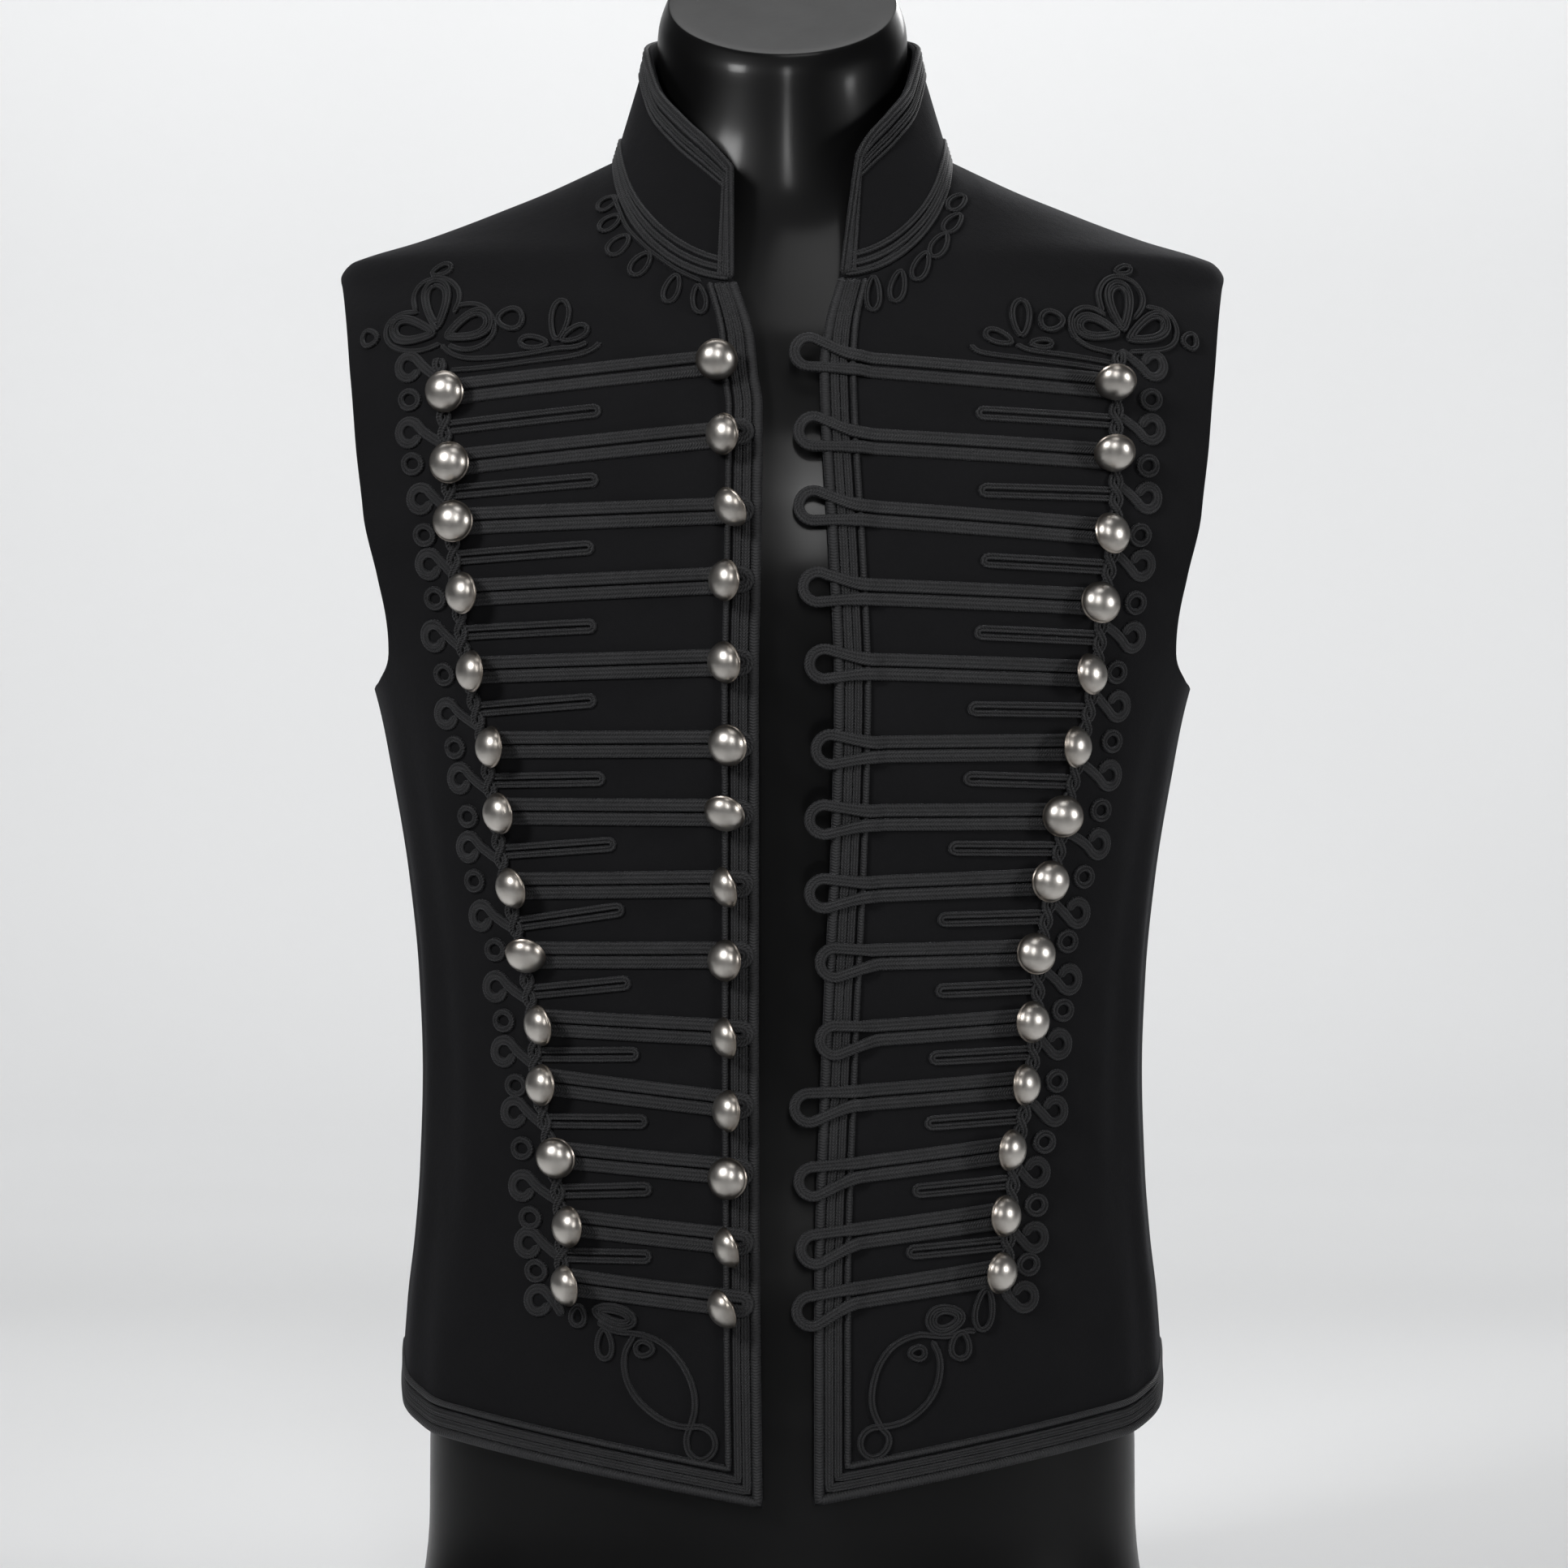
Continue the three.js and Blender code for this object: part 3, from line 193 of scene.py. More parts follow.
# %% [markdown]
# Mohair braid is plaited, so its threads run in slanting ribs that meet in a point along the middle.
# The pattern follows the cord and not the space round it, so it reads the piece's own UV map: u is
# the distance along the cord and v the distance across it, in which each ridge counts as 2 mm. The
# ribs are the sine of u plus a share of v, and the cosine of v makes the grooves between two ridges
# darker, because little light gets into them.


# %% Finish of the braid
RIDGE = 0.002                    # metres of the UV map for one ridge of a cord


def braid_finish(name, rib, dark, light):
    """Ribbed black braid, rib metres from one slanting thread to the next."""
    material, tree, shader = new_finish(
        name, Roughness=0.62, Sheen_Weight=0.1, Sheen_Roughness=0.35,
        Sheen_Tint=(0.85, 0.87, 0.92, 1), Specular_IOR_Level=0.3)
    uv = node(tree, "ShaderNodeUVMap").outputs["UV"]
    axes = node(tree, "ShaderNodeSeparateXYZ", {"Vector": uv})
    slant = times(tree, math_node(tree, "ABSOLUTE", axes.outputs["Y"]), 0.8)
    ribs = wave(tree, "SINE", times(tree, plus(tree, axes.outputs["X"], slant), 2 * math.pi / rib))
    # painted shade: darker in the grooves between two ridges, lighter on the ridges
    ridges = wave(tree, "COSINE", times(tree, axes.outputs["Y"], 2 * math.pi / RIDGE))
    where = on_piece(tree)
    fibres = noise(tree, where, 1800, 2.0)
    worn = noise(tree, where, 60, 4.0)
    # the ribs' stripes plus the painted groove shade
    ribs_and_groove_shade = plus(tree, times(tree, ribs, 0.25), times(tree, ridges, 0.4))
    share = plus(tree, ribs_and_groove_shade, times(tree, times(tree, fibres, worn), 1.2))
    fuzz = bump(tree, fibres, 0.0003, 0.35, Normal=bump(tree, ribs, 0.0005, 0.6))
    finish_with(tree, shader, Base_Color=blend_colours(tree, share, dark, light), Normal=fuzz)
    return material


broad_braid = braid_finish("broad_braid", 0.0014, (0.0033, 0.0033, 0.0036), (0.034, 0.034, 0.036))
thin_braid = braid_finish("thin_braid", 0.0011, (0.0028, 0.0028, 0.0031), (0.029, 0.029, 0.031))

# %% [markdown]
# A shop form has a hard lacquered skin: nearly black, with long soft reflections of the lamps and
# the faint orange peel of sprayed lacquer. A clear coat over a slightly rougher base gives both.

# %% Finish of the form
LACQUER_DARK = (0.0012, 0.0012, 0.0013)
LACQUER_LIGHT = (0.0028, 0.0028, 0.003)
lacquer, tree, shader = new_finish(
    "black_lacquer", Roughness=0.42, Coat_Weight=0.2, Coat_Roughness=0.16, Specular_IOR_Level=0.14)
where = on_piece(tree)
cast = blend_colours(tree, noise(tree, where, 9, 3.0), LACQUER_DARK, LACQUER_LIGHT)
peel = bump(tree, noise(tree, where, 420, 1.0), 0.0001, 0.12)
scuffs = spread_over(tree, noise(tree, where, 35, 6.0, 0.7), 0.34, 0.5)
finish_with(tree, shader, Base_Color=cast, Normal=peel, Roughness=scuffs)

# %% [markdown]
# The buttons are cast white metal, polished on the crown and dull towards the rim. Towards the rim
# their colour turns darker and warm brown: painted shade and a painted warm reflection of the floor.
# Their UV map holds the distance from the crown, so the painted shade grows with it.

# %% Finish of the buttons
METAL_CROWN = (0.62, 0.59, 0.55)
# painted shade and painted warm floor reflection: the colour of the rim and the underside
PAINTED_RIM_SHADE = (0.2, 0.165, 0.135)
metal, tree, shader = new_finish("white_metal", Metallic=1.0, Specular_IOR_Level=0.5)
uv = node(tree, "ShaderNodeUVMap").outputs["UV"]
away = node(tree, "ShaderNodeSeparateXYZ", {"Vector": uv}).outputs["Y"]
blotch = noise(tree, on_piece(tree), 260, 5.0, 0.65)
toward_rim = plus(tree, away, times(tree, blotch, 0.35))
# share of painted rim shade: none on the crown, full at the rim and under it
rim_shade_share = spread_over(tree, toward_rim, 0, 1, From_Min=0.72, From_Max=1.35)
dull = spread_over(tree, blotch, 0.24, 0.44)
scratch = bump(tree, blotch, 0.0002, 0.15)
finish_with(tree, shader, Base_Color=blend_colours(tree, rim_shade_share, METAL_CROWN, PAINTED_RIM_SHADE),
            Roughness=dull, Normal=scratch)

# %% [markdown]
# The worn cloth is one smooth shape. At each height it is a ring, between an ellipse and a shape
# that is fuller or leaner, and the rings' half widths and depths are read from a short table. The
# curve through a column must not overshoot, or the waist would bulge, so its slope at each row is
# the weighted harmonic mean of the slopes on both sides, and flat at a peak.

# %% The worn cloth as a formula
BODY = np.array([                # height, half width, front and back depth, fullness
    [0, 197, 118, 126, 0.86], [80, 186, 110, 117, 0.86], [147, 186.4, 112, 121, 0.86],
    [183, 184.4, 112, 120, 0.86], [215, 180.8, 110, 113, 0.86], [247, 178.4, 108, 106, 0.86],
    [295, 177, 107, 100, 0.86], [343, 178.8, 109, 98, 0.86], [391, 183.6, 114, 99, 0.86],
    [439, 191.4, 121, 103, 0.86], [482, 200.4, 126, 110, 0.86], [535, 226, 128, 118, 0.86],
    [567, 238, 126, 122, 0.86], [599, 240, 120, 124, 0.87], [631, 236.8, 110, 123, 0.92],
    [663, 226.8, 97, 117, 1.02], [679, 219.5, 88, 113, 1.1], [687, 217, 84, 110, 1.15],
    [692.5, 212.5, 81, 107, 1.18], [695.5, 205, 79, 105, 1.2], [703, 180, 74, 100, 1.26],
    [711, 157.6, 69, 95, 1.3], [719, 137, 65, 89, 1.3], [727, 117, 63, 83, 1.3],
    [735, 99.4, 61, 77, 1.3], [743, 82.5, 60, 71, 1.3],
])


def curve(xs, ys):
    """A smooth curve through the points (xs, ys) that never overshoots them."""
    xs, ys = np.asarray(xs, float), np.asarray(ys, float)
    gap = np.diff(xs)
    rise = np.diff(ys) / gap
    slope = np.zeros_like(ys)
    low, high = 2 * gap[1:] + gap[:-1], gap[1:] + 2 * gap[:-1]
    same = rise[:-1] * rise[1:] > 0
    before, after = np.where(same, rise[:-1], 1), np.where(same, rise[1:], 1)
    slope[1:-1] = np.where(same, (low + high) / (low / before + high / after), 0)
    slope[0], slope[-1] = rise[0], rise[-1]

    def value(x):
        x = np.asarray(x, float)
        i = np.clip(np.searchsorted(xs, x) - 1, 0, len(xs) - 2)
        t = (x - xs[i]) / gap[i]
        return ((1 + 2 * t) * (1 - t) ** 2 * ys[i] + t * (1 - t) ** 2 * gap[i] * slope[i]
                + t * t * (3 - 2 * t) * ys[i + 1] + t * t * (t - 1) * gap[i] * slope[i + 1])

    return value


def smoothstep(x, low, high):
    """0 below low, 1 above high, and a soft rise between."""
    t = np.clip((np.asarray(x, float) - low) / (high - low), 0, 1)
    return t * t * (3 - 2 * t)


def curves(table):
    """A curve over the first column of a table for each of its other columns."""
    return [curve(table[:, 0], column) for column in table[:, 1:].T]


half_width, front_depth, back_depth, fullness = curves(BODY)
NECK_POINT = 743                 # height of the neckline at the side of the neck
NECK_LIFT = 16                   # the neckline is that much higher at the back
LIFT_FROM = 620


def body_point(angle, height):
    """Across is half width times the sine of the angle round from the centre front; depth is the
    front or back depth times the cosine to the power of the ring's fullness."""
    angle, height = np.broadcast_arrays(np.asarray(angle, float), np.asarray(height, float))
    ahead = np.cos(angle)
    depth = np.where(ahead > 0, -front_depth(height), back_depth(height))
    lift = NECK_LIFT * smoothstep(height, LIFT_FROM, NECK_POINT)
    x = half_width(height) * np.sin(angle)
    y = depth * np.abs(ahead) ** fullness(height)
    z = height + np.where(ahead < 0, lift * ahead ** 2, 0)
    return np.stack([x, y, z], -1)


def walked_along(line):
    """The distance from a line's first point to each of its points."""
    return np.append(0, np.cumsum(np.linalg.norm(np.diff(line, axis=0), axis=-1)))


def left_of(direction):
    """A direction in a plane, turned a quarter to the left."""
    return np.array([-direction[1], direction[0]])


def unit(vectors):
    """The same directions, each one long."""
    return vectors / np.maximum(np.linalg.norm(vectors, axis=-1, keepdims=True), 1e-9)


def body_normal(angle, height):
    """Straight out of the surface: the cross product of a small step round and one up."""
    around = body_point(angle + 0.02, height) - body_point(angle - 0.02, height)
    up = body_point(angle, height + 0.4) - body_point(angle, height - 0.4)
    return unit(np.cross(around, up))


CHEST = 482
deep = (front_depth(CHEST) + back_depth(CHEST)) / 2
girth = 2 * math.pi * np.sqrt((half_width(CHEST) ** 2 + deep ** 2) / 2)
print("chest girth about", round(float(girth)), "mm")

# %% [markdown]
# Wool on a form isn't dead smooth: below the arms it falls in a few long soft folds, and the skirt
# swings a little. The folds are troughs and ridges, listed one by one, each with its own middle,
# length, width and depth, and everything sewn on the cloth rides up and down with them.

# %% Soft folds
FOLDS = np.array([               # degrees from the front, height, width, length, depth, lean
    [66, 330, 4.5, 120, -1.3, 0.02], [75, 300, 4.0, 150, 1.5, -0.01], [83, 340, 3.6, 130, -1.2, 0.0],
    [58, 250, 5.0, 90, 0.9, 0.03], [70, 200, 4.5, 70, -1.0, 0.02], [60, 440, 5.5, 60, 0.8, -0.05],
    [96, 310, 4.4, 140, 1.4, 0.01], [106, 330, 5.0, 130, -1.5, 0.01], [118, 300, 5.5, 150, 1.2, 0.02],
    [132, 320, 6.0, 120, -1.2, 0.0], [148, 290, 6.5, 140, 1.3, -0.02], [164, 330, 7.0, 150, -1.2, 0.0],
    [110, 470, 5.0, 60, 1.1, -0.06], [124, 520, 6.0, 70, -1.0, -0.05], [140, 560, 7.0, 60, 0.8, 0.03],
    [62, 150, 5.0, 60, 1.0, 0.0], [150, 170, 7.0, 70, 1.1, 0.0], [128, 160, 6.0, 70, -1.0, 0.0],
])


def folds(angle, height):
    """Height of the cloth's relief in mm: the sum of long bell shapes, each leaning a little, and
    placed slightly differently on the wearer's right."""
    angle, height = np.broadcast_arrays(np.asarray(angle, float), np.asarray(height, float))
    round_to = np.degrees(np.abs(np.arctan2(np.sin(angle), np.cos(angle))))
    is_right = np.sin(angle) < 0
    total = np.zeros_like(height)
    for k, (middle, level, wide, long, deep, lean) in enumerate(FOLDS):
        shift = np.where(is_right, 2.4 * math.sin(3.1 * k), 0)
        rise = height - level - np.where(is_right, 25 * math.cos(2.3 * k), 0)
        across = (round_to - middle - shift - lean * rise) / wide
        total = total + deep * np.exp(-across ** 2 - (rise / long) ** 2)
    return total * smoothstep(height, 60, 130)


# %% [markdown]
# A tailor marks a panel with a tape measure, along the cloth. So pieces are drawn in pattern
# coordinates: the distance round from the centre front (or the centre back) and the height of the
# ring. A table of arc lengths turns a distance into an angle for whole arrays at once.

# %% Pattern coordinates
TAPE_STEPS = 100
FAR_ANGLE = math.radians(100)
TAPE_HEIGHTS = np.arange(0, NECK_POINT + 1, 2.0)
TAPE_HEIGHTS = np.append(TAPE_HEIGHTS[:-1], NECK_POINT)


def tape_table(behind):
    """Arc length round each ring, for each height (rows) and angle (columns)."""
    angles = np.linspace(0, FAR_ANGLE, TAPE_STEPS + 1)
    ring = body_point(math.pi - angles if behind else angles, TAPE_HEIGHTS[:, None])
    steps = np.linalg.norm(np.diff(ring[..., :2], axis=1), axis=-1)
    return np.concatenate([np.zeros((len(TAPE_HEIGHTS), 1)), np.cumsum(steps, axis=1)], axis=1)


TAPES = {False: tape_table(False), True: tape_table(True)}


def tape_rows(height, behind):
    """The row of arc lengths at each height, mixed from its two neighbours."""
    i = np.clip(np.searchsorted(TAPE_HEIGHTS, height) - 1, 0, len(TAPE_HEIGHTS) - 2)
    t = (height - TAPE_HEIGHTS[i]) / (TAPE_HEIGHTS[i + 1] - TAPE_HEIGHTS[i])
    return TAPES[behind][i] * (1 - t)[..., None] + TAPES[behind][i + 1] * t[..., None]


def take(rows, i):
    """Entry i of each row."""
    return np.take_along_axis(rows, i[..., None], -1)[..., 0]


def round_at(angle, height, behind=False):
    """Distance round the cloth at an angle."""
    angle, height = np.broadcast_arrays(np.asarray(angle, float), np.asarray(height, float))
    rows = tape_rows(height, behind)
    place = np.abs(angle) / FAR_ANGLE * TAPE_STEPS
    i = np.clip(place.astype(int), 0, TAPE_STEPS - 1)
    return np.sign(angle) * (take(rows, i) + (place - i) * (take(rows, i + 1) - take(rows, i)))


def angle_at(distance, height, behind=False):
    """Angle at a distance round the cloth, the inverse of round_at."""
    distance, height = np.broadcast_arrays(np.asarray(distance, float), np.asarray(height, float))
    rows = tape_rows(height, behind)
    size = np.abs(distance)
    i = np.clip((rows < size[..., None]).sum(-1) - 1, 0, TAPE_STEPS - 1)
    share = (size - take(rows, i)) / (take(rows, i + 1) - take(rows, i))
    return np.sign(distance) * FAR_ANGLE * (i + share) / TAPE_STEPS


def lay(distance, height, out=0.0, behind=False):
    """Points on the cloth at pattern coordinates, moved out along the surface's normal."""
    turn = angle_at(distance, height, behind)
    angle = math.pi - turn if behind else turn
    height = np.broadcast_to(height, angle.shape)
    lifted = np.asarray(out, float) + folds(angle, height)
    return body_point(angle, height) + body_normal(angle, height) * lifted[..., None]


def seen(x, z):
    """Pattern coordinates of points seen straight from the front, as (n, 2)."""
    x, z = np.broadcast_arrays(np.asarray(x, float), np.asarray(z, float))
    angle = np.arcsin(np.clip(np.abs(x) / half_width(z), 0, 1))
    return np.stack([np.sign(x) * round_at(angle, z), z], -1)


print("round the cloth to the side seam at z 480:", round(float(round_at(math.pi / 2, 480.0))), "mm")

# %% [markdown]
# One helper turns arrays into a Blender object. It takes several surfaces at once, because a front's
# braid is hundreds of short cords that belong in one piece. It writes each corner's UV, shades the
# faces smooth, turns the faces outwards if their enclosed volume is negative, and lets the piece
# ride on the frame in place of its plain CAD solid.


# %% From arrays to a piece
def signed_volume(points, quads):
    """Six times the volume that quads enclose, negative if they face inwards."""
    a, b, c, d = (points[quads[:, k]] for k in range(4))
    return float(np.sum(np.cross(a, b) * c) + np.sum(np.cross(a, c) * d))


def make_piece(name, surfaces, finish, stands_for):
    """surfaces is a list of (points in mm, quads, uv per point, cap rings)."""
    all_points, all_faces, all_uv, start = [], [], [], 0
    for points, quads, uv, caps in surfaces:
        inward = signed_volume(points, quads) < 0
        ordered = quads[:, ::-1] if inward else quads
        all_faces.extend((ordered + start).tolist())
        for cap in caps:
            all_faces.append([int(k) + start for k in (cap[::-1] if inward else cap)])
        all_points.append(points)
        all_uv.append(uv)
        start += len(points)
    mesh = bpy.data.meshes.new(name)
    mesh.from_pydata(in_frame(np.concatenate(all_points)).tolist(), [], all_faces)
    corner_uv = np.concatenate(all_uv)[[k for face in all_faces for k in face]]
    mesh.uv_layers.new(name="UVMap").data.foreach_set("uv", corner_uv.astype(np.float32).ravel())
    mesh.shade_smooth()
    mesh.materials.append(finish)
    piece = bpy.data.objects.new(name, mesh)
    bpy.context.scene.collection.objects.link(piece)
    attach(piece, "root")
    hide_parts(*stands_for)
    print(name, "has", sum(len(face) - 2 for face in all_faces), "triangles")
    return piece


def cells(grid):
    """The quads between the rows and columns of a grid of point numbers."""
    return np.stack([grid[:-1, :-1], grid[:-1, 1:], grid[1:, 1:], grid[1:, :-1]], -1).reshape(-1, 4)


def tube(points, uv, closed=False):
    """One skin through rings of points, capped at both ends or joined end to start."""
    grid = np.arange(points.shape[0] * points.shape[1]).reshape(points.shape[:2])
    rows = np.concatenate([grid, grid[:1]]) if closed else grid
    caps = [] if closed else [grid[0][::-1], grid[-1]]
    quads = cells(np.concatenate([rows, rows[:, :1]], 1))
    return points.reshape(-1, 3), quads, uv.reshape(-1, 2), caps


def shell(outer, inner, uv):
    """A closed wall from two grids that share their border: the outer grid's quads, and the inner
    grid's inside the border, facing the other way."""
    rows, wide = outer.shape[:2]
    front = np.arange(rows * wide).reshape(rows, wide)
    rear = front.copy()
    rear[1:-1, 1:-1] = rows * wide + np.arange((rows - 2) * (wide - 2)).reshape(rows - 2, wide - 2)
    points = np.concatenate([outer.reshape(-1, 3), inner[1:-1, 1:-1].reshape(-1, 3)])
    both_uv = np.concatenate([uv.reshape(-1, 2), uv[1:-1, 1:-1].reshape(-1, 2)])
    return points, np.concatenate([cells(front), cells(rear)[:, ::-1]]), both_uv, []


# %% [markdown]
# Cloth has thickness, and its edge is turned and pressed, so it rounds off. The shares along a
# panel crowd towards its edges, and there the outer face sinks and the inner face rises on a
# quarter circle until they meet in the middle of the cloth.

# %% Rounded edges of cloth
CLOTH = 2.4
EDGE_STEPS = np.array([0, 0.06, 0.25, 0.6, 1.2])   # mm in from an edge


def shares(parts, both=True):
    """Shares from 0 to 1 with extra lines close to the ends. parts is a list of (from, to, steps,
    length in mm)."""
    lines = [np.linspace(a, b, steps + 1) for a, b, steps, _ in parts]
    lines.append(parts[0][0] + EDGE_STEPS / parts[0][3] * (parts[0][1] - parts[0][0]))
    if both:
        lines.append(parts[-1][1] - EDGE_STEPS / parts[-1][3] * (parts[-1][1] - parts[-1][0]))
    return np.unique(np.round(np.concatenate(lines), 6))


def edge_drop(distance):
    """How far a face sinks at a distance from the edge: a quarter circle of half the cloth."""
    radius = CLOTH / 2
    left = np.clip(radius - distance, 0, radius)
    return radius - np.sqrt(np.maximum(radius ** 2 - left ** 2, 0))


# %% [markdown]
# Each panel is a Coons patch: four edge curves are drawn in pattern coordinates, and the inside
# is mixed from them, as a sheet of cloth spans its own edges. The edges are the hem, the front
# edge, the neckline and shoulder, and the side seam with the armhole. The same tables give the
# solids, so the fine panel lies exactly where its plain solid does.

# %% Edges of the panels
SEAM = 0.3
HEM_FRONT = 91.5
HEM_RISE = 0.185
HEM_BACK = 116
HEM_ROUND = 21
ROUND_FROM = 60
UNDERARM = 482
SHOULDER_TIP = 687
ARMHOLE = np.array([             # height, then degrees round from centre front and centre back
    [482, 90, 90], [486, 77, 78], [500, 66.5, 69], [530, 60, 64], [567, 58, 62], [599, 59, 62],
    [631, 62, 65], [663, 70, 72], [679, 80, 81], [687, 90, 90],
])
EDGE = np.array([                # height, then right and left front edge from the centre line
    [90, 9.2, 15], [190, 10.4, 15], [308, 11.1, 18.5], [423, 11, 23.3], [481, 11.1, 24.4],
    [538, 10, 22.2], [615, 9.2, 18], [632, 11.7, 17.6], [648, 13.4, 19.3], [657, 15.6, 21],
    [667, 19, 23.8], [680, 23.6, 27.8],
])
NECK_CORNER = {"right": (23.3, 676), "left": (27.5, 678)}
NECK_SHARE = 0.4                 # of a panel's top edge that is neckline, the rest is shoulder
SEAM_SHARE = 6 / 14              # of its outer edge that is side seam, the rest is armhole
front_edge = dict(zip(("right", "left"), curves(EDGE)))
armhole_edge = dict(zip((False, True), curves(ARMHOLE)))


def hem_height(angle, behind):
    """The hem rises in a straight line seen from the front, level behind, and turns up in a
    rounded corner at the side seam."""
    angle = np.asarray(angle, float)
    width = half_width(HEM_FRONT)
    corner = HEM_ROUND * np.maximum(0, (np.degrees(angle) - ROUND_FROM) / (90 - ROUND_FROM)) ** 2
    side = HEM_FRONT + HEM_RISE * width
    if behind:
        return HEM_BACK + (side - HEM_BACK) * np.sin(angle) ** 2 + corner
    return HEM_FRONT + HEM_RISE * width * np.sin(angle) + corner


def seam_angle(height, behind):
    """The angle at which a panel stops, half a seam short of the side line."""
    depth = back_depth(height) if behind else front_depth(height)
    return math.pi / 2 - (SEAM / 2 / depth) ** (1 / fullness(height))


def side_line(t, behind):
    """Up the side seam, then round the armhole, as shares of one edge."""
    t = np.asarray(t, float)
    bottom = float(hem_height(math.pi / 2, behind))
    z = bottom + (UNDERARM - bottom) * np.clip(t / SEAM_SHARE, 0, 1)
    seam = np.stack([round_at(seam_angle(z, behind), z, behind), z], -1)
    level = UNDERARM + (SHOULDER_TIP - UNDERARM) * np.linspace(0, 1, 200) ** 1.6
    angle = np.minimum(np.radians(armhole_edge[behind](level)), seam_angle(level, behind))
    line = np.stack([round_at(angle, level, behind), level], -1)
    walked = walked_along(line)
    share = np.clip((t - SEAM_SHARE) / (1 - SEAM_SHARE), 0, 1)
    goal = walked[-1] * (1 - (1 - share) ** 1.45)
    hole = np.stack([np.interp(goal, walked, line[:, k]) for k in (0, 1)], -1)
    return np.where((t <= SEAM_SHARE)[..., None], seam, hole)


def height_at_width(x):
    """The height at which the shoulder line is x from the middle."""
    levels = np.linspace(SHOULDER_TIP, NECK_POINT, 400)
    return np.interp(-np.asarray(x, float), -half_width(levels), levels)


def shoulder_line(s, behind):
    """Along the shoulder seam, at equal steps across."""
    x = half_width(NECK_POINT) + (half_width(SHOULDER_TIP) - half_width(NECK_POINT)) * s
    z = height_at_width(x)
    return np.stack([round_at(seam_angle(z, behind), z, behind), z], -1)


def neckline_point(side, u):
    """A quarter of an ellipse, seen from the front, from the front corner to the shoulder."""
    corner_x, corner_z = NECK_CORNER[side]
    turn = math.pi / 2 * np.asarray(u, float)
    x = corner_x + (half_width(NECK_POINT) - 0.02 - corner_x) * np.sin(turn)
    z = NECK_POINT - (NECK_POINT - corner_z) * np.cos(turn)
    angle = np.minimum(np.arcsin(np.clip(x / half_width(z), 0, 1)), seam_angle(z, False))
    return np.stack([round_at(angle, z), z], -1)


def top_line(side, s):
    """Neckline, then shoulder; side is right, left or back."""
    s = np.asarray(s, float)
    u = np.clip(s / NECK_SHARE, 0, 1)
    along = np.clip((s - NECK_SHARE) / (1 - NECK_SHARE), 0, 1)
    if side == "back":
        angle = seam_angle(NECK_POINT, True) * u
        neck = np.stack([round_at(angle, NECK_POINT, True), np.full_like(u, NECK_POINT)], -1)
    else:
        neck = neckline_point(side, u)
    return np.where((s <= NECK_SHARE)[..., None], neck, shoulder_line(along, side == "back"))


def hem_line(side, s):
    """Along the hem from the front edge, or the centre back, to the side seam."""
    behind = side == "back"
    start = 0.0 if behind else float(np.arcsin(front_edge[side](HEM_FRONT) / half_width(HEM_FRONT)))
    end = seam_angle(float(hem_height(math.pi / 2, behind)), behind)
    angle = start + (end - start) * np.asarray(s, float)
    z = hem_height(angle, behind)
    return np.stack([round_at(np.minimum(angle, seam_angle(z, behind)), z, behind), z], -1)


def inner_line(side, t):
    """Up the front edge, or up the centre back."""
    t = np.asarray(t, float)
    low = hem_line(side, 0.0)
    high = top_line(side, 0.0)
    z = low[1] + (high[1] - low[1]) * t
    if side == "back":
        return np.stack([np.zeros_like(z), z], -1)
    line = seen(front_edge[side](z), z)
    line[0], line[-1] = low, high
    return line


# %% [markdown]
# The patch is worked out for all its points at once. Its distance from each edge comes from the
# real lengths between the grid's lines, and it feeds the rounded edge. The back is built as one
# half and its mirror image, so that the centre back lies on the fold.


# %% Panels
def patch(side):
    """A Coons patch: each pair of edges mixed across, less the mix of the four corners."""
    s = shares([(0, NECK_SHARE, 34, 100), (NECK_SHARE, 1, 46, 150)], both=True)
    t = shares([(0, SEAM_SHARE, 100, 350), (SEAM_SHARE, 1, 110, 300)], both=True)
    behind = side == "back"
    bottom, top = hem_line(side, s)[None], top_line(side, s)[None]
    left, right = inner_line(side, t)[:, None], side_line(t, behind)[:, None]
    across, up = s[None, :, None], t[:, None, None]
    return ((1 - up) * bottom + up * top + (1 - across) * left + across * right
            - (1 - across) * (1 - up) * bottom[:, :1] - across * (1 - up) * bottom[:, -1:]
            - (1 - across) * up * top[:, :1] - across * up * top[:, -1:])


def border_distance(points, closed_left):
    """How far each point of a grid lies from the grid's nearest edge, along its own lines."""
    across = np.linalg.norm(np.diff(points, axis=1), axis=-1)
    up = np.linalg.norm(np.diff(points, axis=0), axis=-1)
    from_left = np.pad(np.cumsum(across, 1), ((0, 0), (1, 0)))
    from_low = np.pad(np.cumsum(up, 0), ((1, 0), (0, 0)))
    edges = [from_left[:, -1:] - from_left, from_low, from_low[-1:] - from_low]
    if not closed_left:
        edges.append(from_left)
    return np.minimum.reduce(edges)


def panel(side):
    """The wall of one panel and the area of its outer face in square metres."""
    behind = side == "back"
    plan = patch(side)
    face = lay(plan[..., 0], plan[..., 1], 0.0, behind)
    drop = edge_drop(border_distance(face, closed_left=behind))
    outer = lay(plan[..., 0], plan[..., 1], -drop, behind)
    inner = lay(plan[..., 0], plan[..., 1], drop - CLOTH, behind)
    if behind:
        outer, inner = (np.concatenate([g[:, :0:-1] * (-1, 1, 1), g], 1) for g in (outer, inner))
        plan = np.concatenate([plan[:, :0:-1] * (-1, 1), plan], 1)
    if side == "right":
        outer, inner = outer * (-1, 1, 1), inner * (-1, 1, 1)
    cell = np.cross(outer[1:, :-1] - outer[:-1, :-1], outer[:-1, 1:] - outer[:-1, :-1])
    area = float(np.linalg.norm(cell, axis=-1).sum()) * MM ** 2
    return shell(outer, inner, plan * MM), area


for side, name in (("right", "front_right"), ("left", "front_left"), ("back", "back")):
    surface, area = panel(side)
    make_piece(name + "_cloth", [surface], wool, [name])
    print("cut area of", name, round(area, 4), "m2")

